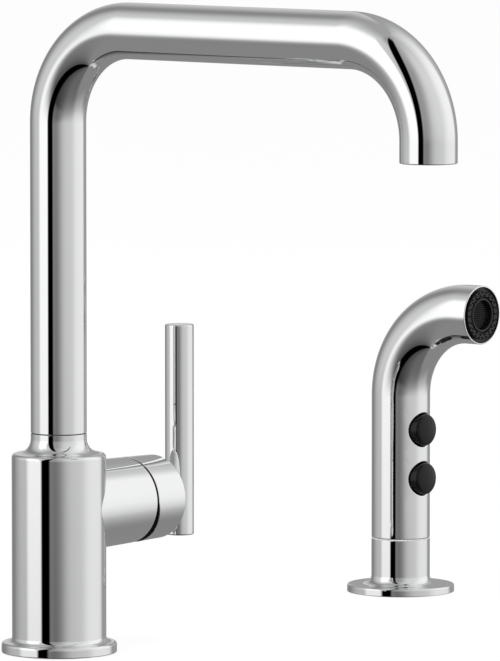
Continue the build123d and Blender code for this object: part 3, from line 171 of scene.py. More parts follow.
def finishSurface(wire, shader):
    wire.node("ShaderNodeOutputMaterial", {}, {"Surface": shader})


def shadeSurface(wire, inputs):
    finishSurface(wire, wire.node("ShaderNodeBsdfPrincipled", {}, inputs))


def grain(wire, coords, size, detail=2.0, stretch=(1, 1, 1)):
    # soft noise, size is its wavelength in millimetres
    placed = wire.node("ShaderNodeMapping", {}, {"Vector": coords, "Scale": stretch})
    return wire.node("ShaderNodeTexNoise", {}, {
        "Vector": placed, "Scale": 1 / (size * mm), "Detail": detail, "Roughness": 0.5,
    })


def bump(wire, height, depth):
    # depth in millimetres
    return wire.node("ShaderNodeBump", {}, {"Height": height, "Distance": depth * mm})


# finishes
def makeChrome():
    material, wire, coords = newMaterial("chrome")
    smudge = grain(wire, coords, 38, 3)
    fine = grain(wire, coords, 1.6, 2)
    wave = grain(wire, coords, 18, 1)
    shadeSurface(wire, {
        "Metallic": 1.0,
        "Base Color": mixColour(wire, smudge, (0.85, 0.854, 0.86, 1), (0.885, 0.887, 0.89, 1)),
        "Roughness": 0.012 + smudge * 0.016 + fine * 0.006,
        "Normal": bump(wire, wave + fine * 0.04, 0.0005),
    })
    return material


def makeCastingWithPaintedShade():
    # the unpolished inner faces of the chromed pieces, near-black as painted shade in their
    # hollows, bores and the seam gap
    material, wire, coords = newMaterial("rawCasting")
    cast = grain(wire, coords, 0.9, 4)
    shadeSurface(wire, {
        "Specular IOR Level": 0.2,
        "Base Color": mixColour(wire, cast, (0.004, 0.004, 0.0045, 1), (0.012, 0.012, 0.013, 1)),
        "Roughness": 0.5 + cast * 0.2,
        "Normal": bump(wire, cast, 0.04),
    })
    return material


def makeTurnedMetal(name, low, high, roughness):
    material, wire, coords = newMaterial(name)
    toolMarks = grain(wire, coords, 0.35, 3, (0.06, 0.06, 1))
    stain = grain(wire, coords, 14, 4)
    shadeSurface(wire, {
        "Metallic": 1.0,
        "Base Color": mixColour(wire, stain, (*low, 1), (*high, 1)),
        "Roughness": roughness + toolMarks * 0.16,
        "Normal": bump(wire, toolMarks, 0.012),
    })
    return material


def makePlastic(name, low, high, roughness, texture=0.01, specular=0.5, coat=0.0):
    material, wire, coords = newMaterial(name)
    fleck = grain(wire, coords, 0.5, 3)
    cloud = grain(wire, coords, 12, 2)
    shadeSurface(wire, {
        "Base Color": mixColour(wire, cloud, (*low, 1), (*high, 1)),
        "Roughness": roughness + fleck * 0.12,
        "Normal": bump(wire, fleck, texture),
        "Specular IOR Level": specular,
        "Coat Weight": coat,
    })
    return material


# each slot's finish, low and high are the ends of its colour's variation
finishes = {
    "chrome": makeChrome(),
    "brass": makeTurnedMetal(
        "brass", low=(0.58, 0.41, 0.17), high=(0.72, 0.55, 0.28), roughness=0.22),
    "stainless_steel": makeTurnedMetal(
        "stainlessSteel", low=(0.50, 0.50, 0.49), high=(0.62, 0.62, 0.60), roughness=0.2),
    "black_rubber": makePlastic(
        "blackRubber", low=(0.012, 0.012, 0.013), high=(0.024, 0.024, 0.025), roughness=0.6,
        texture=0.03),
    "white_plastic": makePlastic(
        "whitePlastic", low=(0.74, 0.74, 0.72), high=(0.82, 0.82, 0.80), roughness=0.36),
    "grey_plastic": makePlastic(
        "greyPlastic", low=(0.035, 0.036, 0.038), high=(0.055, 0.056, 0.06), roughness=0.4),
    "alumina": makePlastic(
        "alumina", low=(0.83, 0.81, 0.76), high=(0.9, 0.88, 0.84), roughness=0.16, texture=0.002),
    "button_plastic": makePlastic(
        "buttonPlastic", low=(0.004, 0.004, 0.0045), high=(0.007, 0.007, 0.008), roughness=0.1,
        texture=0.001, specular=0.2, coat=0.05),
    "face_plastic": makePlastic(
        "facePlastic", low=(0.003, 0.003, 0.004), high=(0.007, 0.007, 0.008), roughness=0.12,
        texture=0.006, specular=0.34),
}
chrome = finishes["chrome"]
# near-black painted shade for the hollows of the chromed pieces
rawCasting = makeCastingWithPaintedShade()
slotOf = {entry["node"]: entry["material_slot"] for entry in frame["record"]["subparts"]}
deckClearance = 0.1 * mm
for nodeName, nodeObject in frame["nodes"].items():
    nodeObject.data.materials.clear()
    nodeObject.data.materials.append(finishes[slotOf[nodeName]])
    # the metal doesn't mirror what stands below the deck
    nodeObject.visible_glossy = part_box(nodeName)[0].z > -deckClearance
print("finishes made:", len(finishes))


# geometry node trees
mergeReach = 0.002 * mm  # points nearer than this become one


def newTree(name, sockets):
    tree = bpy.data.node_groups.new(name, "GeometryNodeTree")
    tree.interface.new_socket("Geometry", in_out="OUTPUT", socket_type="NodeSocketGeometry")
    tree.interface.new_socket("Geometry", in_out="INPUT", socket_type="NodeSocketGeometry")
    for socketName, kind in sockets:
        tree.interface.new_socket(socketName, in_out="INPUT", socket_type="NodeSocket" + kind)
    tree.interface.new_socket("Finish", in_out="INPUT", socket_type="NodeSocketMaterial")
    start = tree.nodes.new("NodeGroupInput")
    return tree, {socket.name: Wire(tree, socket) for socket in start.outputs if socket.name}


def endTree(tree, geometry, finish):
    wire = Wire(tree)
    whole = wire.node("GeometryNodeRealizeInstances", {}, {"Geometry": geometry})
    finished = wire.node("GeometryNodeSetMaterial", {}, {"Geometry": whole, "Material": finish})
    end = tree.nodes.new("NodeGroupOutput")
    tree.links.new(finished.socket, end.inputs[0])
    return tree


def runTree(piece, tree, values):
    # sets the inputs by identifier, then keeps the result as a plain mesh
    modifier = piece.modifiers.new(tree.name, "NODES")
    modifier.node_group = tree
    for item in tree.interface.items_tree:
        if item.item_type == "SOCKET" and item.in_out == "INPUT" and item.name in values:
            modifier[item.identifier] = values[item.name]
    return applyModifier(piece, modifier)


def applyModifier(piece, modifier):
    graph = bpy.context.evaluated_depsgraph_get()
    baked = bpy.data.meshes.new_from_object(piece.evaluated_get(graph))
    piece.modifiers.remove(modifier)
    rough = piece.data
    piece.data = baked
    bpy.data.meshes.remove(rough)
    baked.name = piece.name
    return piece


def makeShellTree():
    # skins rings that are given by their centre and two half axes
    tree, given = newTree("ringShell", [("Segments", "Int"), ("Closed", "Bool")])
    wire = Wire(tree)
    rings = wire.node("GeometryNodeAttributeDomainSize", {}, {"Geometry": given["Geometry"]})
    around = given["Segments"] + 1.0
    grid = wire.node("GeometryNodeMeshGrid", {}, {
        "Vertices X": rings + given["Closed"], "Vertices Y": around,
    })
    index = wire.node("GeometryNodeInputIndex")
    row = wire.maths("FLOOR", (index + 0.5) / around)
    turn = (index - row * around) * (2 * math.pi) / given["Segments"]
    station = row - rings * wire.maths("GREATER_THAN", row, rings - 0.5)

    def sample(value):
        return wire.node("GeometryNodeSampleIndex", {"data_type": "FLOAT_VECTOR"}, {
            "Geometry": given["Geometry"], "Value": value, "Index": station,
        })

    def named(name):
        return wire.node("GeometryNodeInputNamedAttribute", {"data_type": "FLOAT_VECTOR"}, {
            "Name": name,
        })

    sideA = scaled(wire, sample(named("sideA")), wire.maths("COSINE", turn))
    sideB = scaled(wire, sample(named("sideB")), wire.maths("SINE", turn))
    centre = sample(wire.node("GeometryNodeInputPosition"))
    place = vectorMaths(wire, "ADD", centre, vectorMaths(wire, "ADD", sideA, sideB))
    skin = wire.node("GeometryNodeSetPosition", {}, {"Geometry": grid, "Position": place})
    joined = wire.node("GeometryNodeMergeByDistance", {}, {
        "Geometry": skin, "Distance": mergeReach,
    })
    return endTree(tree, joined, given["Finish"])


def makeRoundTree():
    # repeats the given shape round a circle about Z, then turns and moves the whole ring
    tree, given = newTree("repeatRound", [
        ("Count", "Int"), ("Radius", "Float"), ("Turn", "Vector"), ("Centre", "Vector"),
    ])
    wire = Wire(tree)
    circle = wire.node("GeometryNodeMeshCircle", {}, {
        "Vertices": given["Count"], "Radius": given["Radius"],
    })
    x, y = apart(wire, wire.node("GeometryNodeInputPosition"))[:2]
    bearing = wire.node("ShaderNodeCombineXYZ", {}, {2: wire.maths("ARCTAN2", y, x)})
    copies = wire.node("GeometryNodeInstanceOnPoints", {}, {
        "Points": circle, "Instance": given["Geometry"], "Rotation": bearing,
    })
    moved = wire.node("GeometryNodeTransform", {}, {
        "Geometry": copies, "Translation": given["Centre"], "Rotation": given["Turn"],
    })
    return endTree(tree, moved, given["Finish"])


def makeScreenTree():
    # two crossed layers of round wires in a circle about Z, each as long as its chord
    tree, given = newTree("wireScreen", [
        ("Radius", "Float"), ("Pitch", "Float"), ("Wire Radius", "Float"), ("Layer Rise", "Float"),
        ("Turn", "Vector"), ("Centre", "Vector"),
    ])
    wire = Wire(tree)
    half = wire.maths("FLOOR", given["Radius"] / given["Pitch"] - 0.1)
    line = wire.node("GeometryNodeMeshLine", {}, {
        "Count": half * 2 + 1.0,
        "Start Location": wire.node("ShaderNodeCombineXYZ", {}, {0: 0 - half * given["Pitch"]}),
        "Offset": wire.node("ShaderNodeCombineXYZ", {}, {0: given["Pitch"]}),
    })
    across = apart(wire, wire.node("GeometryNodeInputPosition"))[0]
    chord = 2 * wire.maths("SQRT", given["Radius"] * given["Radius"] - across * across)
    rodShape = wire.node("GeometryNodeMeshCylinder", {}, {
        "Vertices": 6, "Radius": given["Wire Radius"], "Depth": 1.0,
    })
    layer = wire.node("GeometryNodeInstanceOnPoints", {}, {
        "Points": line, "Instance": rodShape, "Rotation": (math.pi / 2, 0, 0),
        "Scale": wire.node("ShaderNodeCombineXYZ", {}, {0: 1.0, 1: 1.0, 2: chord}),
    })
    crossed = wire.node("GeometryNodeTransform", {}, {
        "Geometry": layer,
        "Rotation": (0, 0, math.pi / 2),
        "Translation": wire.node("ShaderNodeCombineXYZ", {}, {
            2: given["Wire Radius"] * given["Layer Rise"],
        }),
    })
    both = wire.node("GeometryNodeJoinGeometry")
    for wires in (layer, crossed):
        tree.links.new(wires.socket, both.socket.node.inputs[0])
    moved = wire.node("GeometryNodeTransform", {}, {
        "Geometry": both, "Translation": given["Centre"], "Rotation": given["Turn"],
    })
    return endTree(tree, moved, given["Finish"])


def makeOuterWallTree(name, sockets, newRadius):
    # moves points towards or from an upright axis, by a rule for their radius
    tree, given = newTree(name, [("Axis", "Vector")] + sockets)
    wire = Wire(tree)
    fromAxis = vectorMaths(wire, "SUBTRACT", wire.node("GeometryNodeInputPosition"), given["Axis"])
    x, y, z = apart(wire, fromAxis)
    radius = wire.maths("SQRT", x * x + y * y)
    turn = wire.maths("ARCTAN2", y, x) / (2 * math.pi)
    scale = newRadius(wire, given, radius, turn, z) / radius
    flat = wire.node("ShaderNodeCombineXYZ", {}, {0: x * scale, 1: y * scale, 2: z})
    place = vectorMaths(wire, "ADD", flat, given["Axis"])
    moved = wire.node("GeometryNodeSetPosition", {}, {
        "Geometry": given["Geometry"], "Position": place,
    })
    return endTree(tree, moved, given["Finish"])


def threadRadius(wire, given, radius, turn, height):
    # a screw thread, run out over one pitch at both ends
    wave = wire.maths("ABSOLUTE", wire.maths("FRACT", height / given["Pitch"] + turn) * 2 - 1)
    outside = wire.maths("GREATER_THAN", radius, given["Outer Radius"] - flush * mm)

    def runOut(distance):
        return wire.node("ShaderNodeMapRange", {}, {0: distance / given["Pitch"]})

    ends = runOut(given["Top"] - height) * runOut(height - given["Bottom"])
    return radius - given["Depth"] * wave * outside * ends


def hexagonRadius(wire, given, radius, turn, height):
    # six flats; what lies inside them stays round, which leaves the corner chamfers
    fromMiddle = (wire.maths("FRACT", turn * 6) - 0.5) * (math.pi / 3)
    return wire.maths("MINIMUM", radius, given["Flat Radius"] / wire.maths("COSINE", fromMiddle))


shellTree = makeShellTree()
roundTree = makeRoundTree()
screenTree = makeScreenTree()
threadTree = makeOuterWallTree("screwThread", [
    (name, "Float") for name in ("Outer Radius", "Depth", "Pitch", "Top", "Bottom")
], threadRadius)
hexagonTree = makeOuterWallTree("hexagonFlats", [("Flat Radius", "Float")], hexagonRadius)
print("geometry node trees made")


# shapes
def newObject(name, vertices=(), faces=()):
    mesh = bpy.data.meshes.new(name)
    mesh.from_pydata(vertices, (), faces)
    piece = bpy.data.objects.new(name, mesh)
    scene.collection.objects.link(piece)
    return piece


def roundCorner(here, before, after, size, step, guard):
    # the points of an arc between two straight runs, with a guard point where a run goes on
    towards, onwards = before - here, after - here
    reach = (towards.length, onwards.length)
    towards.normalize()
    onwards.normalize()
    angle = towards.angle(onwards)
    cut = size / math.tan(angle / 2)
    centre = here + (towards + onwards).normalized() * (size / math.sin(angle / 2))
    first = here + towards * cut - centre
    turn = first.angle_signed(here + onwards * cut - centre)
    steps = max(3, math.ceil(abs(math.degrees(turn)) / step))
    points = [here + towards * (cut + guard)] if reach[0] - cut > guard * 1.5 else []
    for part in range(steps + 1):
        spin = -turn * part / steps
        along = first.x * math.cos(spin) - first.y * math.sin(spin)
        across = first.x * math.sin(spin) + first.y * math.cos(spin)
        points.append(centre + Vector((along, across)))
    if reach[1] - cut > guard * 1.5:
        points.append(here + onwards * (cut + guard))
    return points


def roundCorners(corners, step=10.0, guard=0.12, nearest=0.004):
    # corners are (along, radius, rounding) in millimetres, poles at radius 0 end the outline
    openEnds = corners[0][1] == 0 and corners[-1][1] == 0
    points = []
    for number, (along, radius, *rounding) in enumerate(corners):
        here = Vector((along, radius))
        if rounding:
            before = Vector(corners[number - 1][:2])
            after = Vector(corners[(number + 1) % len(corners)][:2])
            points += roundCorner(here, before, after, rounding[0], step, guard)
        else:
            points.append(here)
    kept = [points[0]]
    for point in points[1:]:
        if (point - kept[-1]).length > nearest:
            kept.append(point)
    if not openEnds and (kept[0] - kept[-1]).length < nearest:
        kept.pop()
    return kept, not openEnds


def cleanShell(piece, sharp=38):
    work = bmesh.new()
    work.from_mesh(piece.data)
    bmesh.ops.recalc_face_normals(work, faces=work.faces)
    work.to_mesh(piece.data)
    work.free()
    piece.data.shade_smooth()
    piece.data.set_sharp_from_angle(angle=math.radians(sharp))
    return piece


def shellFromRings(name, rings, closed, finish, segments=96, sharp=38):
    # rings are (centre, sideA, sideB) in millimetres
    centres, *sides = zip(*rings)
    piece = newObject(name, [centre * mm for centre in centres])
    for sideName, side in zip(("sideA", "sideB"), sides):
        attribute = piece.data.attributes.new(sideName, "FLOAT_VECTOR", "POINT")
        attribute.data.foreach_set("vector", [value * mm for vector in side for value in vector])
    runTree(piece, shellTree, {"Segments": segments, "Closed": closed, "Finish": finish})
    return cleanShell(piece, sharp)


def turned(name, corners, finish, origin=(0, 0, 0), axis="Z", segments=96, step=10.0, sharp=38):
    # a lathe piece, corners are measured along its axis from the origin
    ways = {"Z": (0, 0, 1), "X": (1, 0, 0), "-Y": (0, -1, 0), "-Z": (0, 0, -1)}
    axisWay = Vector(ways[axis])
    sideWay = Vector((0, 0, 1)) if axis in ("X", "-Y") else Vector((1, 0, 0))
    otherWay = axisWay.cross(sideWay)
    outline, closed = roundCorners(corners, step)
    start = Vector(origin)
    rings = [
        (start + axisWay * point.x, sideWay * point.y, otherWay * point.y) for point in outline
    ]
    return shellFromRings(name, rings, closed, finish, segments, sharp)


def cutter(name, start, stop, radius, finish, **place):
    # a plain rod whose finish goes on to the hole that it cuts
    corners = [(start, 0), (start, radius), (stop, radius), (stop, 0)]
    return turned(name, corners, finish, **place)


def cutWith(piece, tool):
    # the tool is used up
    modifier = piece.modifiers.new("cut", "BOOLEAN")
    modifier.operation = "DIFFERENCE"
    modifier.solver = "EXACT"
    modifier.object = tool
    applyModifier(piece, modifier)
    bpy.data.objects.remove(tool)


def joinInto(piece, *others):
    # keeps each part's own material
    materials = list(piece.data.materials)
    work = bmesh.new()
    work.from_mesh(piece.data)
    for other in others:
        firstFace = len(work.faces)
        work.from_mesh(other.data)
        work.faces.ensure_lookup_table()
        otherMaterials = list(other.data.materials)
        for polygon in work.faces[firstFace:]:
            material = otherMaterials[polygon.material_index]
            if material not in materials:
                materials.append(material)
            polygon.material_index = materials.index(material)
        bpy.data.objects.remove(other)
    piece.data.materials.clear()
    for material in materials:
        piece.data.materials.append(material)
    work.to_mesh(piece.data)
    work.free()
    return piece


def carry(piece, body, node):
    # the piece stands for a node of the frame
    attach(piece, body)
    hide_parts(node)
    piece.visible_glossy = frame["nodes"][node].visible_glossy
    return piece


# foot ring and column
foot = {
    "ringRadius": 25.15, "ringTop": 5.0, "ringRound": 1.3, "lowerRound": 0.43, "proud": 0.4,
    "bodyRadius": 20.55, "footRadius": 22.75, "footFillet": 2.199, "footBottom": 3.5,
    "gasketRadius": 22.5, "gasketTop": 1.4, "shankHole": 16.3, "gap": 0.05, "segments": 128,
}
footRing = turned("footRing", [
    (foot["gasketTop"], foot["shankHole"]),
    (foot["gasketTop"], foot["gasketRadius"]),
    (foot["proud"], foot["gasketRadius"]),
    (foot["proud"], foot["ringRadius"], foot["lowerRound"]),
    (foot["ringTop"], foot["ringRadius"], foot["ringRound"]),
    (foot["ringTop"], foot["footRadius"] + foot["gap"]),
    (foot["footBottom"], foot["footRadius"] + foot["gap"]),
    (foot["footBottom"], foot["shankHole"]),
], chrome, segments=foot["segments"])
carry(footRing, "faucet", "base_ring")

column = {
    "shoulder": 87.3, "shoulderRound": 1.7, "neckFillet": 6.2, "neckRadius": 12.2,
    "neckTop": 96.0, "lipRound": 0.15, "rowsFrom": 42.0, "rowStep": 2.0, "rows": 21,
    "spoutBore": 10.3, "spoutBoreFloor": 60.0, "diverterBore": 9.0,
    "blockTop": 34.0, "blockBore": 16.05,
    "hubHeight": 62.9, "bossRadius": 16.9, "bossEnd": 38.0, "bossRound": 0.4,
    "seat": 12.0, "seatRadius": 14.0, "nutBore": 15.4, "nutStart": 28.0, "boreSegments": 64,
}
columnRows = [column["rowsFrom"] + column["rowStep"] * row for row in range(column["rows"])]
hubOrigin = (0, 0, column["hubHeight"])
columnBody = turned("columnCasting", [
    (foot["footBottom"], foot["footRadius"]),
    (foot["ringTop"], foot["footRadius"]),
    (foot["ringTop"], foot["bodyRadius"], foot["footFillet"]),
    *[(place, foot["bodyRadius"]) for place in columnRows],
    (column["shoulder"], foot["bodyRadius"], column["shoulderRound"]),
    (column["shoulder"], column["neckRadius"], column["neckFillet"]),
    (column["neckTop"], column["neckRadius"], column["lipRound"]),
    (column["neckTop"], column["spoutBore"]),
    (column["spoutBoreFloor"], column["spoutBore"]),
    (column["spoutBoreFloor"], column["diverterBore"]),
    (column["blockTop"], column["diverterBore"]),
    (column["blockTop"], column["blockBore"]),
    (foot["footBottom"], column["blockBore"]),
], chrome, segments=foot["segments"])
# the boss and the seat bore cut for it carry the near-black painted shade
boss = turned("sideBoss", [
    (column["seat"], column["seatRadius"]),
    (column["seat"], column["bossRadius"]),
    (column["bossEnd"], column["bossRadius"], column["bossRound"]),
    (column["bossEnd"], column["nutBore"]),
    (column["nutStart"], column["nutBore"]),
    (column["nutStart"], column["seatRadius"]),
], rawCasting, origin=hubOrigin, axis="X", segments=column["boreSegments"])
cutWith(columnBody, cutter(
    "seatCutter", column["seat"], column["nutStart"], column["seatRadius"], rawCasting,
    origin=hubOrigin, axis="X", segments=column["boreSegments"]))
joinInto(columnBody, boss)
carry(columnBody, "faucet", "faucet_body")
print("column made")


# hub sleeve, with a saddle against the column
hub = {
    "rootRadius": 19.5, "rootPlace": 20.0, "endRadius": 18.5, "endPlace": 64.4,
    "sleeveEnd": 44.4, "sleeveWall": 1.6, "edgeRound": 0.4, "innerRound": 0.1, "seam": 1.0,
    "rows": 9, "segments": 160, "roundStep": 11,
    "saddleSink": 0.25, "saddlePasses": 4, "straightEnd": 1.0,
}


def hubRadius(place):
    taper = (hub["rootRadius"] - hub["endRadius"]) / (hub["endPlace"] - hub["rootPlace"])
    return hub["rootRadius"] - (place - hub["rootPlace"]) * taper


sleeveEndRadius = hubRadius(hub["sleeveEnd"])
sleeveInner = sleeveEndRadius - hub["sleeveWall"]
straightPlace = hub["sleeveEnd"] - hub["straightEnd"]


def saddlePoint(point):
    # draws the sleeve's inner end onto the column, and widens its outside by the taper
    along, sideways, upwards = point.x / mm, point.y / mm, point.z / mm - column["hubHeight"]
    share = (straightPlace - along) / straightPlace
    if share <= 0:
        return point
    outer = math.hypot(sideways, upwards) > sleeveInner + hub["sleeveWall"] / 2
    scale = 1.0
    for attempt in range(hub["saddlePasses"]):
        offAxis = min(abs(sideways) * scale, foot["bodyRadius"])
        saddle = math.sqrt(foot["bodyRadius"] ** 2 - offAxis ** 2) - hub["saddleSink"]
        along = straightPlace - share * (straightPlace - saddle)
        if outer:
            scale = hubRadius(along) / sleeveEndRadius
    return Vector((along, sideways * scale, column["hubHeight"] + upwards * scale)) * mm


sleeve = turned("hubSleeve", [
    *[(hub["sleeveEnd"] / hub["rows"] * row, sleeveEndRadius) for row in range(hub["rows"])],
    (hub["sleeveEnd"], sleeveEndRadius, hub["edgeRound"]),
    (hub["sleeveEnd"], sleeveInner, hub["innerRound"]),
    (0.0, sleeveInner),
], chrome, origin=hubOrigin, axis="X", segments=hub["segments"], step=hub["roundStep"])
for vertex in sleeve.data.vertices:
    vertex.co = saddlePoint(vertex.co)
cleanShell(sleeve)
carry(sleeve, "faucet", "hub_sleeve")


# handle: cap with its wedge, post and rod
handle = {
    "wall": 2.0, "cavity": 60.0, "cavityRound": 0.6, "endRound": 0.8,
    "tilt": 12.0, "leanLength": 7.0, "rowsFrom": 49.0, "rowStep": 2.0, "rows": 7,
    "screwPlace": 55.0, "screwHole": 2.05, "screwSegments": 32,
    "postRadius": 5.0, "tenonRadius": 2.95, "tenonLength": 3.3, "postSink": 3.0,
    "postSegments": 64, "rodRadius": 6.4, "rodPlace": 81.9, "rodBottom": 44.4, "rodTop": 137.9,
    "rodRound": 0.7,
}
capStart = hub["sleeveEnd"] + hub["seam"]
capInner = hub["endRadius"] - handle["wall"]
capRows = [handle["rowsFrom"] + handle["rowStep"] * row for row in range(handle["rows"])]
cap = turned("handleCap", [
    (handle["cavity"], 0),
    (handle["cavity"], capInner, handle["cavityRound"]),
    (capStart + handle["leanLength"], capInner),
    (capStart, capInner, hub["innerRound"]),
    (capStart, hubRadius(capStart), hub["edgeRound"]),
    *[(place, hubRadius(place)) for place in capRows],
    (hub["endPlace"], hub["endRadius"], handle["endRound"]),
    (hub["endPlace"], 0),
], chrome, origin=hubOrigin, axis="X", segments=hub["segments"], step=hub["roundStep"])

# the cap's lower edge leans back, so that the handle can tilt
lean = math.tan(math.radians(handle["tilt"]))
for vertex in cap.data.vertices:
    along = vertex.co.x / mm
    below = column["hubHeight"] - vertex.co.z / mm
    if below > 0 and along < capStart + handle["leanLength"]:
        vertex.co.x += below * lean * (1 - (along - capStart) / handle["leanLength"]) * mm
cleanShell(cap)
screwHoleOrigin = (handle["screwPlace"], 0, column["hubHeight"])
# the screw hole's wall carries the near-black painted shade
cutWith(cap, cutter(
    "screwCutter", hub["endRadius"] / 2, hub["endRadius"] + handle["wall"], handle["screwHole"],
    rawCasting, origin=screwHoleOrigin, axis="-Z", segments=handle["screwSegments"]))


def takesPaintedShade(polygon):
    # the cap's cavity, and its edge that faces the sleeve across the seam gap; both get the
    # near-black painted shade
    middle = polygon.center / mm
    offAxis = math.hypot(middle.y, middle.z - column["hubHeight"])
    inside = offAxis < capInner + 0.1 and middle.x < handle["cavity"] + 0.2
    return inside or (polygon.normal.x < -0.9 and middle.x < handle["screwPlace"])


# the near-black painted shade for the cap's hollow and its seam face
cap.data.materials.append(rawCasting)
for polygon in cap.data.polygons:
    if takesPaintedShade(polygon):
        polygon.material_index = len(cap.data.materials) - 1
carry(cap, "handle", "handle_cap")

post = turned("leverPost", [
    (hub["endPlace"] - handle["tenonLength"], 0),
    (hub["endPlace"] - handle["tenonLength"], handle["tenonRadius"]),
    (hub["endPlace"], handle["tenonRadius"]),
    (hub["endPlace"], handle["postRadius"]),
    (handle["rodPlace"] - handle["postSink"], handle["postRadius"]),
    (handle["rodPlace"] - handle["postSink"], 0),
], chrome, origin=hubOrigin, axis="X", segments=handle["postSegments"])
carry(post, "handle", "lever_post")
rod = turned("leverRod", [
    (handle["rodBottom"], 0),
    (handle["rodBottom"], handle["rodRadius"], handle["rodRound"]),
    (handle["rodTop"], handle["rodRadius"], handle["rodRound"]),
    (handle["rodTop"], 0),
], chrome, origin=(handle["rodPlace"], 0, 0))
carry(rod, "handle", "lever_rod")
print("hub and handle made")


# a tube along straight runs joined by quarter turns
def bentPath(runs, bend, origin, ways):
    # the centre and the forward way at a length along the path
    def at(length):
        place = Vector(origin)
        for number, run in enumerate(runs):
            way = ways[number]
            if length <= run or number == len(runs) - 1:
                return place + way * length, way
            place = place + way * run
            length -= run
            quarter = math.pi / 2 * bend
            following = ways[number + 1]
            if length < quarter:
                angle = length / bend
                place += way * (bend * math.sin(angle)) + following * (bend * (1 - math.cos(angle)))
                return place, way * math.cos(angle) + following * math.sin(angle)
            place = place + (way + following) * bend
            length -= quarter
    return at


def bendStops(runs, bend, step, guard=0.25):
    # the lengths at which a bend's rings stand, step in degrees
    stops = []
    length = 0
    for run in runs[:-1]:
        length += run
        quarter = math.pi / 2 * bend
        count = round(90 / step)
        stops.append(length - guard)
        stops += [length + quarter * part / count for part in range(count + 1)]
        length += quarter
        stops.append(length + guard)
    return stops


def addStops(outline, stops, clear=0.03):
    # adds points to an outline wherever one of its runs passes a stop
    full = []
    for number, point in enumerate(outline):
        full.append(point)
        following = outline[(number + 1) % len(outline)]
        low, high = sorted((point.x, following.x))
        passed = [stop for stop in stops if low + clear < stop < high - clear]
        for stop in sorted(passed, reverse=following.x < point.x):
            share = (stop - point.x) / (following.x - point.x)
            full.append(Vector((stop, point.y + (following.y - point.y) * share)))
    return full


up, out, down = Vector((0, 0, 1)), Vector((0, -1, 0)), Vector((0, 0, -1))
rightWay = Vector((1, 0, 0))

spout = {
    "bottom": 96.4, "armHeight": 272.1, "reach": 203.2, "drop": 50.0, "bend": 40.8,
    "radius": 12.2, "wall": 1.2, "tipRound": 0.5, "edgeRound": 0.15, "bendStep": 2.0,
}
spoutRuns = [
    spout["armHeight"] - spout["bend"] - spout["bottom"],
    spout["reach"] - 2 * spout["bend"],
    spout["drop"] - spout["bend"],
]
spoutLength = sum(spoutRuns) + math.pi * spout["bend"]
spoutPath = bentPath(spoutRuns, spout["bend"], (0, 0, spout["bottom"]), [up, out, down])
spoutOutline, spoutClosed = roundCorners([
    (0.0, spout["radius"], spout["edgeRound"]),
    (spoutLength, spout["radius"], spout["tipRound"]),
    (spoutLength, spout["radius"] - spout["wall"], spout["edgeRound"]),
    (0.0, spout["radius"] - spout["wall"]),
])
spoutRings = []
for point in addStops(spoutOutline, bendStops(spoutRuns, spout["bend"], spout["bendStep"])):
    centre, way = spoutPath(point.x)
    spoutRings.append((centre, rightWay * point.y, way.cross(rightWay) * point.y))
spoutTube = shellFromRings("spoutTube", spoutRings, spoutClosed, chrome)
carry(spoutTube, "spout", "spout_tube")

aerator = {
    "recess": 0.6, "radius": 10.95, "wall": 1.3, "lip": 1.0, "height": 9.0,
    "edgeRound": 0.35, "lipRound": 0.15, "screenPitch": 1.25, "screenWire": 0.2,
}
tipHeight = spout["armHeight"] - spout["drop"]
aeratorInner = aerator["radius"] - aerator["wall"]
aeratorHousing = turned("aeratorHousing", [
    (aerator["recess"], aerator["radius"], aerator["edgeRound"]),
    (aerator["recess"] + aerator["height"], aerator["radius"]),
    (aerator["recess"] + aerator["height"], aeratorInner),
    (aerator["recess"] + aerator["lip"], aeratorInner),
    (aerator["recess"] + aerator["lip"], aeratorInner - aerator["lip"], aerator["lipRound"]),
    (aerator["recess"], aeratorInner - aerator["lip"], aerator["edgeRound"]),
], chrome, origin=(0, -spout["reach"], tipHeight))
carry(aeratorHousing, "spout", "aerator_housing")


upright = (0.0, 0.0, 0.0)
faceFront = (math.pi / 2, 0.0, 0.0)
layerRise = 1.6  # between a screen's two layers, in wire radii, so that they sink into each other


def wovenScreen(name, body, node, slotName, radius, size, turn=upright):
    # takes its place from the node's middle
    low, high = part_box(node)
    screen = runTree(newObject(name), screenTree, {
        "Radius": radius * mm, "Pitch": size["screenPitch"] * mm,
        "Wire Radius": size["screenWire"] * mm, "Layer Rise": layerRise,
        "Turn": turn, "Centre": tuple((low + high) / 2), "Finish": finishes[slotName],
    })
    return carry(screen, body, node)


wovenScreen("aeratorScreen", "spout", "aerator_screen", "white_plastic", aeratorInner, aerator)
print("spout made")


# side spray holder
spray = {"x": 262.7, "y": 17.4}
holder = {
    "flangeRadius": 24.8, "flangeTop": 3.9, "flangeRound": 0.8, "lowerRound": 0.25, "fillet": 4.0,
    "radius": 13.55, "top": 25.0, "topRound": 0.2, "bore": 11.75, "proud": 0.4,
    "gasketRadius": 22.1, "gasketTop": 1.2, "shankRadius": 12.55, "shankTop": 12.0,
    "linerBottom": -10.0, "linerRadius": 11.7, "linerBore": 10.6,
    "linerFlange": 13.4, "linerFlangeTop": 25.6, "linerEdgeRound": 0.12, "linerMouthRound": 0.3,
    "segments": 128,
}
sprayOrigin = (spray["x"], spray["y"], 0)
sprayHolder = turned("sprayHolder", [
    (holder["gasketTop"], holder["shankRadius"]),
    (holder["gasketTop"], holder["gasketRadius"]),
    (holder["proud"], holder["gasketRadius"]),
    (holder["proud"], holder["flangeRadius"], holder["lowerRound"]),
    (holder["flangeTop"], holder["flangeRadius"], holder["flangeRound"]),
    (holder["flangeTop"], holder["radius"], holder["fillet"]),
    (holder["top"], holder["radius"], holder["topRound"]),
    (holder["top"], holder["bore"]),
    (holder["shankTop"], holder["bore"]),
    (holder["shankTop"], holder["shankRadius"]),
], chrome, origin=sprayOrigin, segments=holder["segments"])
carry(sprayHolder, "faucet", "spray_holder")
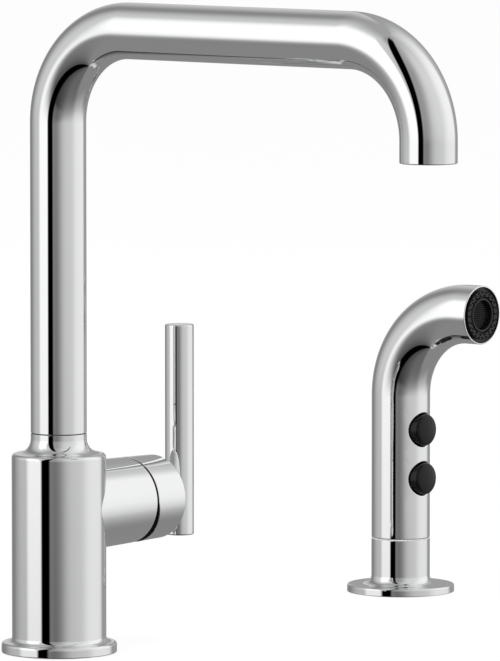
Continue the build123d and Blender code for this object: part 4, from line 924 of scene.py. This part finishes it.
liner = turned("holderLiner", [
    (holder["linerBottom"], holder["linerRadius"]),
    (holder["top"], holder["linerRadius"]),
    (holder["top"], holder["linerFlange"]),
    (holder["linerFlangeTop"], holder["linerFlange"], holder["linerEdgeRound"]),
    (holder["linerFlangeTop"], holder["linerBore"], holder["linerMouthRound"]),
    (holder["linerBottom"], holder["linerBore"]),
], finishes["white_plastic"], origin=sprayOrigin)
carry(liner, "faucet", "holder_liner")


# spray wand: a bent tube with two round button holes in its front
wand = {
    "radius": 13.5, "wall": 1.3, "bottom": 25.7, "axisHeight": 131.1, "bend": 39.2, "reach": 47.1,
    "edgeRound": 0.3, "faceDepth": 4.0, "faceRim": 0.55,
    "bendStep": 2.5, "segments": 96, "sharp": 40,
    "buttonHeights": (53.5, 76.1), "buttonHole": 7.6, "holeRound": 0.8, "lipSteps": 4,
    "patchHalf": 9.6, "patchColumns": 12, "patchRows": 12,  # the square of grid faces round a hole
    "patchShares": (0.62, 0.3, 0.1), "lipShare": 0.03,  # how near to the hole its flat rings lie
}
wandInner = wand["radius"] - wand["wall"]
wandRuns = [wand["axisHeight"] - wand["bend"] - wand["bottom"], wand["reach"] - wand["bend"]]
wandPath = bentPath(wandRuns, wand["bend"], (spray["x"], spray["y"], wand["bottom"]), [up, out])
wandLength = sum(wandRuns) + math.pi / 2 * wand["bend"]


def patchStops(height):
    low = height - wand["bottom"] - wand["patchHalf"]
    rowStep = 2 * wand["patchHalf"] / wand["patchRows"]
    return [low + rowStep * row for row in range(wand["patchRows"] + 1)]


def wandPoint(length, radius, turn):
    # turn 0 faces the front, where the buttons are
    centre, way = wandPath(length)
    front = rightWay.cross(way)
    offAxis = front * math.cos(turn) + rightWay * math.sin(turn)
    return (centre + offAxis * radius) * mm


def holeLayers(outer):
    # how a hole's rings close in from the patch edge: flat ones by share, then the lip's by angle
    layers = [("flat", share) for share in wand["patchShares"]]
    if not outer:
        return layers + [("flat", 0.0)]
    steps = wand["lipSteps"]
    lip = [("round", math.pi / 2 * (1 - part / steps)) for part in range(steps + 1)]
    return layers + [("flat", wand["lipShare"])] + lip


def holePoint(layer, vertex, radius, height, rounding):
    kind, amount = layer
    x = vertex.co.x / mm - spray["x"]
    z = vertex.co.z / mm - height
    bearing = math.atan2(z, x)
    if kind == "flat":
        share, inward, sunk = amount, rounding, 0.0
    else:
        share = 0.0
        inward = rounding * (1 - math.cos(amount))
        sunk = rounding * (1 - math.sin(amount))
    lip = wand["buttonHole"] + inward
    px = lip * math.cos(bearing) * (1 - share) + x * share
    pz = lip * math.sin(bearing) * (1 - share) + z * share
    py = -math.sqrt(radius * radius - px * px) + sunk
    return Vector((spray["x"] + px, spray["y"] + py, height + pz)) * mm


def bridge(work, first, second):
    for number in range(len(first)):
        beside = (number + 1) % len(first)
        work.faces.new((first[number], first[beside], second[beside], second[number]))


def cutButtonHole(work, grid, rows, height):
    # fills the patch of the outer and the inner wall up to the hole, and joins the two
    lips = []
    for radius in (wand["radius"], wandInner):
        outer = radius == wand["radius"]
        nearest = [
            min(range(len(rows)), key=lambda n: abs(rows[n].x - length) + abs(rows[n].y - radius))
            for length in patchStops(height)
        ]
        across = list(range(-wand["patchColumns"], wand["patchColumns"] + 1))
        rim = [(nearest[0], column) for column in across]
        rim += [(row, across[-1]) for row in nearest[1:-1]]
        rim += [(nearest[-1], column) for column in reversed(across)]
        rim += [(row, across[0]) for row in reversed(nearest[1:-1])]
        edge = [grid[row][column % wand["segments"]] for row, column in rim]
        previous = edge
        rounding = wand["holeRound"] if outer else 0.0
        for layer in holeLayers(outer):
            ring = [
                work.verts.new(holePoint(layer, vertex, radius, height, rounding))
                for vertex in edge
            ]
            bridge(work, previous, ring)
            previous = ring
        lips.append(previous)
    bridge(work, *lips)


def makeWandShell():
    outline = roundCorners([
        (0.0, wand["radius"], wand["edgeRound"]),
        (wandLength, wand["radius"], wand["edgeRound"]),
        (wandLength, wand["radius"] - wand["faceRim"]),
        (wandLength - wand["faceDepth"], wand["radius"] - wand["faceRim"]),
        (wandLength - wand["faceDepth"], wandInner),
        (0.0, wandInner),
    ])[0]
    patches = [patchStops(height) for height in wand["buttonHeights"]]
    rows = addStops(outline, sum(patches, bendStops(wandRuns, wand["bend"], wand["bendStep"])))
    count = wand["segments"]
    turns = [2 * math.pi * step / count for step in range(count)]
    work = bmesh.new()
    grid = [[work.verts.new(wandPoint(point.x, point.y, turn)) for turn in turns] for point in rows]
    for number, row in enumerate(rows):
        following = (number + 1) % len(rows)
        middle = (row.x + rows[following].x) / 2
        straight = abs(row.y - rows[following].y) < flush
        inPatch = straight and any(patch[0] < middle < patch[-1] for patch in patches)
        for step in range(count):
            if inPatch and min(step + 0.5, count - step - 0.5) < wand["patchColumns"]:
                continue
            beside = (step + 1) % count
            here, there = grid[number], grid[following]
            work.faces.new((here[step], here[beside], there[beside], there[step]))
    for height in wand["buttonHeights"]:
        cutButtonHole(work, grid, rows, height)
    bmesh.ops.remove_doubles(work, verts=work.verts, dist=mergeReach)
    loose = [vertex for vertex in work.verts if not vertex.link_faces]
    bmesh.ops.delete(work, geom=loose, context="VERTS")
    piece = newObject("wandShell")
    work.to_mesh(piece.data)
    work.free()
    piece.data.materials.append(chrome)
    return cleanShell(piece, wand["sharp"])


carry(makeWandShell(), "wand", "wand_shell")


# buttons
button = {
    "radius": 7.3, "crown": 16.4, "rim": 15.5, "rimRound": 1.6,
    "flangeRadius": 8.4, "flangeFront": 8.4, "flangeBack": 7.2, "plunger": 1.3, "plungerEnd": -0.2,
    "domeRows": 8, "segments": 64, "sharp": 45,
}
domeHeight = button["crown"] - button["rim"]
domeRadius = (button["radius"] ** 2 + domeHeight ** 2) / (2 * domeHeight)
domeCentre = button["crown"] - domeRadius
dome = []
for part in range(1, button["domeRows"]):
    offAxis = button["radius"] * (1 - part / button["domeRows"])
    if offAxis < button["radius"] - button["rimRound"]:
        dome.append((domeCentre + math.sqrt(domeRadius ** 2 - offAxis ** 2), offAxis))
for side, height in zip(("lower", "upper"), wand["buttonHeights"]):
    pressed = turned(side + "Button", [
        (button["plungerEnd"], 0),
        (button["plungerEnd"], button["plunger"]),
        (button["flangeBack"], button["plunger"]),
        (button["flangeBack"], button["flangeRadius"]),
        (button["flangeFront"], button["flangeRadius"]),
        (button["flangeFront"], button["radius"]),
        (button["rim"], button["radius"], button["rimRound"]),
        *dome,
        (button["crown"], 0),
    ], finishes["button_plastic"], origin=(spray["x"], spray["y"], height), axis="-Y",
        segments=button["segments"], sharp=button["sharp"])
    carry(pressed, side + "_button", side + "_button")


# spray face: depths are measured from the wand's mouth
face = {
    "radius": 12.9, "grooveDepth": 1.5, "grooveRound": 0.15, "moatDepth": 1.0, "gap": 0.05,
    "plateauRadius": 11.2, "plateauInner": 8.5, "plateau": 0.4,
    "outerRound": 0.3, "innerRound": 0.2,
    "streamRadius": 7.9, "stream": 0.5, "streamRound": 0.35,
    "cupRadius": 6.7, "cupDepth": 2.5, "cupRound": 0.3, "screenPitch": 0.95, "screenWire": 0.16,
}
nozzle = {
    "circles": ((9.1, 18), (10.5, 24)),  # radius and number
    "root": 0.52, "rootDepth": 0.1, "tip": 0.38, "tipRound": 0.1, "height": 0.5, "hole": 0.2,
    "segments": 10, "roundStep": 45,
}
headOrigin = (spray["x"], spray["y"], wand["axisHeight"])
faceBack = wand["reach"] - wand["faceDepth"]
grooveFloor = wand["reach"] - face["grooveDepth"]
moatFloor = wand["reach"] - face["moatDepth"]
plateauFront = wand["reach"] + face["plateau"]
streamFront = wand["reach"] + face["stream"]
faceDisc = turned("sprayFace", [
    (faceBack, face["streamRadius"] + face["gap"]),
    (faceBack, face["radius"]),
    (grooveFloor, face["radius"], face["grooveRound"]),
    (grooveFloor, face["plateauRadius"]),
    (plateauFront, face["plateauRadius"], face["outerRound"]),
    (plateauFront, face["plateauInner"], face["innerRound"]),
    (moatFloor, face["plateauInner"]),
    (moatFloor, face["streamRadius"] + face["gap"]),
], finishes["face_plastic"], origin=headOrigin, axis="-Y")
nozzleRings = []
for circleRadius, count in nozzle["circles"]:
    nozzles = turned("nozzles", [
        (-nozzle["rootDepth"], nozzle["hole"]),
        (-nozzle["rootDepth"], nozzle["root"]),
        (nozzle["height"], nozzle["tip"], nozzle["tipRound"]),
        (nozzle["height"], nozzle["hole"]),
    ], finishes["face_plastic"], segments=nozzle["segments"], step=nozzle["roundStep"])
    nozzleRings.append(runTree(nozzles, roundTree, {
        "Count": count, "Radius": circleRadius * mm, "Turn": faceFront,
        "Centre": (spray["x"] * mm, (spray["y"] - plateauFront) * mm, wand["axisHeight"] * mm),
        "Finish": finishes["face_plastic"],
    }))
joinInto(faceDisc, *nozzleRings)
carry(faceDisc, "wand", "spray_face")
streamInsert = turned("streamInsert", [
    (faceBack, 0),
    (faceBack, face["streamRadius"]),
    (streamFront, face["streamRadius"], face["streamRound"]),
    (streamFront, face["cupRadius"], face["streamRound"]),
    (streamFront - face["cupDepth"], face["cupRadius"], face["cupRound"]),
    (streamFront - face["cupDepth"], 0),
], finishes["face_plastic"], origin=headOrigin, axis="-Y")
carry(streamInsert, "wand", "stream_insert")
wovenScreen(
    "streamScreen", "wand", "stream_screen", "face_plastic", face["cupRadius"], face, faceFront)
print("side spray made")


# what holds the faucet and the spray under the deck
deck = {
    "under": -20.0, "pitch": 2.0, "rowsPerPitch": 8, "gap": 0.05, "boreRound": 0.3, "endRound": 0.5,
    "turnedSharp": 60, "threadSharp": 50,
}
shank = {
    "node": "mounting_shank", "x": 0.0, "y": 0.0, "radius": 16.0, "bore": 13.0,
    "top": 12.0, "bottom": -62.0, "lead": 15.2, "leadLength": 6.0, "depth": 0.8,
}
sprayShank = {
    "node": "holder_shank", "x": spray["x"], "y": spray["y"], "radius": 12.5, "bore": 10.6,
    "top": 12.0, "bottom": -50.0, "lead": 12.1, "leadLength": 6.0, "depth": 0.4,
    "linerBore": 11.75, "linerFloor": -10.1,
}


def threadedTube(name, size):
    threadTop = deck["under"] - deck["pitch"]
    threadBottom = size["bottom"] + size["leadLength"]
    rowCount = round((threadTop - threadBottom) / deck["pitch"] * deck["rowsPerPitch"])
    rowStep = (threadTop - threadBottom) / rowCount
    bore = [(size["bottom"], size["bore"], deck["boreRound"])]
    if "linerBore" in size:
        bore += [
            (size["linerFloor"], size["bore"]),
            (size["linerFloor"], size["linerBore"]),
            (size["top"], size["linerBore"]),
        ]
    else:
        bore.append((size["top"], size["bore"]))
    tube = turned(name, [
        *bore,
        (size["top"], size["radius"]),
        *[(threadTop - rowStep * row, size["radius"]) for row in range(rowCount + 1)],
        (threadBottom, size["lead"]),
        (size["bottom"], size["lead"], deck["endRound"]),
    ], finishes["brass"], origin=(size["x"], size["y"], 0), sharp=deck["turnedSharp"])
    runTree(tube, threadTree, {
        "Axis": (size["x"] * mm, size["y"] * mm, 0.0), "Outer Radius": size["radius"] * mm,
        "Depth": size["depth"] * mm, "Pitch": deck["pitch"] * mm,
        "Top": threadTop * mm, "Bottom": threadBottom * mm, "Finish": finishes["brass"],
    })
    return carry(cleanShell(tube, deck["threadSharp"]), "faucet", size["node"])


washer = {
    "rubber": 2.0, "steel": 2.5, "radius": 26.0, "sprayRadius": 20.0, "hole": 0.3, "round": 0.4,
}


def makeWasher(name, node, slotName, top, thickness, radius, size):
    hole = size["radius"] + washer["hole"]
    ring = turned(name, [
        (top - thickness, hole),
        (top - thickness, radius, washer["round"]),
        (top, radius, washer["round"]),
        (top, hole),
    ], finishes[slotName], origin=(size["x"], size["y"], 0))
    return carry(ring, "faucet", node)


threadedTube("mountingShank", shank)
threadedTube("sprayShank", sprayShank)
rubberBottom = deck["under"] - washer["rubber"]
makeWasher(
    "rubberWasher", "deck_washer", "black_rubber",
    deck["under"], washer["rubber"], washer["radius"], shank)
makeWasher(
    "steelWasher", "clamp_washer", "stainless_steel",
    rubberBottom, washer["steel"], washer["radius"], shank)
makeWasher(
    "sprayWasher", "holder_washer", "black_rubber",
    deck["under"], washer["rubber"], washer["sprayRadius"], sprayShank)

nut = {
    "cornerRadius": 26.0, "thickness": 8.0, "clear": 5.0, "chamfer": 1.3, "chamferCut": 2.2,
    "boreRound": 0.4, "segments": 192, "sharp": 30,
    "screwCount": 3, "screwCircle": 20.6, "screwRadius": 2.5, "holeSegments": 32, "past": 1.0,
}
nutTop = rubberBottom - washer["steel"] - nut["clear"]
nutBottom = nutTop - nut["thickness"]
mountingNut = turned("mountingNut", [
    (nutBottom, shank["radius"] + deck["gap"], nut["boreRound"]),
    (nutBottom, nut["cornerRadius"] - nut["chamferCut"]),
    (nutBottom + nut["chamfer"], nut["cornerRadius"]),
    (nutTop - nut["chamfer"], nut["cornerRadius"]),
    (nutTop, nut["cornerRadius"] - nut["chamferCut"]),
    (nutTop, shank["radius"] + deck["gap"], nut["boreRound"]),
], finishes["brass"], segments=nut["segments"])
hexagonShare = math.cos(math.pi / 6)  # a hexagon's flat radius over its corner radius
runTree(mountingNut, hexagonTree, {
    "Axis": (0.0, 0.0, 0.0), "Flat Radius": nut["cornerRadius"] * hexagonShare * mm,
    "Finish": finishes["brass"],
})
for number in range(nut["screwCount"]):
    turn = 2 * math.pi * number / nut["screwCount"]
    place = (nut["screwCircle"] * math.cos(turn), nut["screwCircle"] * math.sin(turn), 0)
    cutWith(mountingNut, cutter(
        "screwHole", nutBottom - nut["past"], nutTop + nut["past"],
        nut["screwRadius"] + deck["gap"], finishes["brass"],
        origin=place, segments=nut["holeSegments"]))
carry(cleanShell(mountingNut, nut["sharp"]), "faucet", "mounting_nut")

screw = {
    "seat": 0.3, "headRadius": 4.0, "headHeight": 4.0, "headRound": 0.5, "neckRound": 0.2,
    "endRound": 0.5, "key": 2.6, "keyDepth": 3.0, "segments": 36, "sharp": 30,
}
headTop = nutBottom - screw["seat"]
headBottom = headTop - screw["headHeight"]
lockScrews = turned("lockScrews", [
    (headBottom + screw["keyDepth"], 0),
    (headBottom + screw["keyDepth"], screw["key"]),
    (headBottom, screw["key"]),
    (headBottom, screw["headRadius"], screw["headRound"]),
    (headTop, screw["headRadius"], screw["neckRound"]),
    (headTop, nut["screwRadius"]),
    (nutTop + nut["clear"], nut["screwRadius"], screw["endRound"]),
    (nutTop + nut["clear"], 0),
], finishes["stainless_steel"], segments=screw["segments"])
for vertex in lockScrews.data.vertices:
    # the key hole's round wall becomes six flats
    radius = math.hypot(vertex.co.x, vertex.co.y) / mm
    if abs(radius - screw["key"]) < flush:
        fromMiddle = (math.atan2(vertex.co.y, vertex.co.x) % (math.pi / 3)) - math.pi / 6
        vertex.co.xy *= hexagonShare / math.cos(fromMiddle)
runTree(lockScrews, roundTree, {
    "Count": nut["screwCount"], "Radius": nut["screwCircle"] * mm, "Turn": upright,
    "Centre": (0.0, 0.0, 0.0), "Finish": finishes["stainless_steel"],
})
carry(cleanShell(lockScrews, screw["sharp"]), "faucet", "lock_screws")

wingNut = {
    "radius": 18.0, "thickness": 9.0, "boreRound": 0.3, "edgeRound": 0.6, "count": 4,
    "wing": 7.0, "wingRoot": 1.0, "wingWidth": 3.0, "wingRound": 0.5, "roundSegments": 3,
}
wingBottom = rubberBottom - wingNut["thickness"]
sprayNut = turned("sprayNut", [
    (wingBottom, sprayShank["radius"] + deck["gap"], wingNut["boreRound"]),
    (wingBottom, wingNut["radius"], wingNut["edgeRound"]),
    (rubberBottom, wingNut["radius"], wingNut["edgeRound"]),
    (rubberBottom, sprayShank["radius"] + deck["gap"], wingNut["boreRound"]),
], finishes["brass"], origin=sprayOrigin)
wings = newObject("wings")
wingSize = Vector((wingNut["wing"], wingNut["wingWidth"], wingNut["thickness"])) * mm
work = bmesh.new()
bmesh.ops.create_cube(work, size=1)
bmesh.ops.scale(work, vec=wingSize, verts=work.verts)
bmesh.ops.bevel(
    work, geom=work.edges, offset=wingNut["wingRound"] * mm, segments=wingNut["roundSegments"],
    affect="EDGES", profile=0.5)
work.to_mesh(wings.data)
work.free()
wings.data.materials.append(finishes["brass"])
runTree(wings, roundTree, {
    "Count": wingNut["count"], "Turn": upright,
    "Radius": (wingNut["radius"] + wingNut["wing"] / 2 - wingNut["wingRoot"]) * mm,
    "Centre": (spray["x"] * mm, spray["y"] * mm, (wingBottom + wingNut["thickness"] / 2) * mm),
    "Finish": finishes["brass"],
})
joinInto(sprayNut, wings)
carry(cleanShell(sprayNut), "faucet", "holder_nut")
print("under-deck pieces made")


# inner springs
spring = {"stepsPerTurn": 24, "segments": 8, "sharp": 60}
diverterCoil = {"way": (0, 0, 1), "turns": 5, "wire": 0.35, "travel": 3.0}
buttonCoil = {"way": (0, 1, 0), "turns": 3, "wire": 0.3, "travel": 2.0}


def makeSpring(name, body, node, size):
    # fills its node's box, coiled along the given way
    low, high = (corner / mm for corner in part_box(node))
    along = Vector(size["way"])
    middle = (low + high) / 2
    length = (high - low).dot(along)
    coilRadius = (high - low).dot(rightWay) / 2 - size["wire"]
    climb = length - 2 * size["wire"]
    stepCount = size["turns"] * spring["stepsPerTurn"]
    rings = []
    for step in range(stepCount + 1):
        angle = 2 * math.pi * step / spring["stepsPerTurn"]
        outward = rightWay * math.cos(angle) + along.cross(rightWay) * math.sin(angle)
        centre = middle + along * (climb * (step / stepCount - 0.5)) + outward * coilRadius
        rings.append((centre, outward * size["wire"], along * size["wire"]))
    point = Vector()
    rings = [(rings[0][0], point, point), *rings, (rings[-1][0], point, point)]
    piece = shellFromRings(
        name, rings, False, finishes["stainless_steel"], spring["segments"], spring["sharp"])
    carry(piece, body, node)
    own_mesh(piece)


makeSpring("diverterSpring", "faucet", "diverter_spring", diverterCoil)
for side in ("lower", "upper"):
    makeSpring(
        side + "Spring", "wand", side + "_button_spring", buttonCoil)
print("springs made")


# floor: white to the camera, with the object's shadow, and clear to the mirroring metal
backdrop = {"half": 9, "paper": (0.80, 0.82), "grain": 60, "glow": 1.07, "glowShare": 0.84}
half = backdrop["half"]
floor = newObject("floor", [
    (-half, -half, 0), (half, -half, 0), (half, half, 0), (-half, half, 0),
], [(0, 1, 2, 3)])


def rayKinds(wire):
    # what the camera sees itself, and what it sees in or through a piece
    seen = wire.node("ShaderNodeLightPath")
    glossy, through = seen.beside("Is Glossy Ray"), seen.beside("Is Transmission Ray")
    return seen, wire.maths("MAXIMUM", glossy, through)


def makePaleFloor():
    material, wire, coords = newMaterial("paleFloor")
    seen, mirrored = rayKinds(wire)
    low, high = backdrop["paper"]
    cloud = grain(wire, coords, backdrop["grain"], 2)
    paper = wire.node("ShaderNodeBsdfDiffuse", {}, {
        "Color": mixColour(wire, cloud, grey(low), grey(high)),
    })
    glow = wire.node("ShaderNodeEmission", {}, {"Color": grey(1), "Strength": backdrop["glow"]})
    lit = wire.node("ShaderNodeMixShader", {}, {
        0: seen * backdrop["glowShare"], 1: paper, 2: glow,
    })
    clear = wire.node("ShaderNodeBsdfTransparent")
    finishSurface(wire, wire.node("ShaderNodeMixShader", {}, {0: mirrored, 1: lit, 2: clear}))
    return material


floor.data.materials.append(makePaleFloor())


# the studio that the chrome mirrors: soft edged panels, each over the ones before it, with their
# places in degrees as (from, its softness, to, its softness); bearings run left from the line to
# the camera, heights up from the horizon, and a lean shifts a panel's bearing as it rises
studio = {
    "towardsCamera": -140.7, "room": 0.40, "soft": 0.62,
    "front": {"bearing": (-20, 30, 50, 10), "top": (60, 40), "level": -0.22},
    "panels": {
        "sideWall": {"bearing": (19, 80, 200, 4), "height": (-16, 52, 62, 27), "level": 0.68},
        "sideShade": {"bearing": (132, 76, 160, 60), "height": (-91, 40, 62, 38), "level": 0.0},
        "farWall": {"bearing": (-57, 39, 5, 80), "height": (-7, 18, 77, 40), "level": 0.68},
        "window": {"bearing": (-151, 46, -59, 80), "height": (-34, 22, 72, 80), "level": 1.01},
        "windowEnd": {"bearing": (-200, 2, -128, 18), "height": (-81, 20, 38, 80), "level": 0.36},
        "softBox": {
            "bearing": (43.5, 5, 82.5, 14), "height": (-11, 12, 47, 20), "level": 1.2, "lean": 0.31,
        },
        "floor": {"bearing": (-200, 2, 200, 2), "height": (-120, 2, -11, 23), "level": 0.26},
        "floorFront": {"bearing": (-20, 30, 55, 66), "height": (-120, 2, -16, 11), "level": 0.02},
        "floorNear": {"bearing": (-77, 76, -11, 44), "height": (-11, 60, -2, 7), "level": 0.77},
        "floorWindow": {"bearing": (-114, 25, -53, 70), "height": (-19, 59, -1, 34), "level": 0.89},
        "floorDeep": {"bearing": (-68, 27, 13, 80), "height": (-120, 2, -23, 80), "level": 0.14},
        "gap": {"bearing": (21, 6, 41.5, 3), "height": (-120, 2, 78, 10), "level": 0.0},
    },
}
world = bpy.data.worlds.new("studio")
scene.world = world
world.use_nodes = True
world.node_tree.nodes.clear()
wire = Wire(world.node_tree)
x, y, z = apart(wire, wire.node("ShaderNodeTexCoord", output=0))
facing = math.radians(studio["towardsCamera"])
ahead = x * math.cos(facing) + y * math.sin(facing)
leftward = x * math.sin(facing) - y * math.cos(facing)
bearing = wire.maths("ARCTAN2", leftward, ahead) * (180 / math.pi)
elevation = wire.maths("ARCSINE", z) * (180 / math.pi)


def band(value, edges):
    start, startSoft, stop, stopSoft = edges
    return rise(wire, value, start, startSoft) * (1 - rise(wire, value, stop, stopSoft))


def overlay(under, mask, level):
    return under * (1 - mask) + mask * level


front = studio["front"]
frontMask = band(bearing, front["bearing"]) * (1 - rise(wire, elevation, *front["top"]))
mirror = overlay(studio["room"], frontMask, front["level"])
for panel in studio["panels"].values():
    leaning = bearing - wire.maths("MAXIMUM", elevation) * panel.get("lean", 0.0)
    mask = band(leaning, panel["bearing"]) * band(elevation, panel["height"])
    mirror = overlay(mirror, mask, panel["level"])
mirror = wire.maths("MAXIMUM", mirror)
seen, mirrored = rayKinds(wire)
light = mixColour(wire, seen, mixColour(wire, mirrored, grey(studio["soft"]), mirror), grey(1))
wire.node("ShaderNodeOutputWorld", {}, {
    "Surface": wire.node("ShaderNodeBackground", {}, {"Color": light, "Strength": 1.0}),
})

lamps = {
    "leftBox": {"place": (-1.6, -0.2, 1.1), "size": 1.2, "power": 12},
    "rightBox": {"place": (0.4, -2.2, 1.2), "size": 1.2, "power": 10},
    "topBox": {"place": (0.0, 0.0, 2.2), "size": 1.6, "power": 16},
}
lampAim = Vector((0.08, -0.03, 0.1))
for lampName, lamp in lamps.items():
    data = bpy.data.lights.new(lampName, "AREA")
    data.energy = lamp["power"]
    data.shape = "DISK"
    data.size = lamp["size"]
    box = bpy.data.objects.new(lampName, data)
    scene.collection.objects.link(box)
    box.location = lamp["place"]
    box.rotation_euler = (lampAim - Vector(lamp["place"])).to_track_quat("-Z", "Y").to_euler()
    box.visible_glossy = False
print("light and floor made")
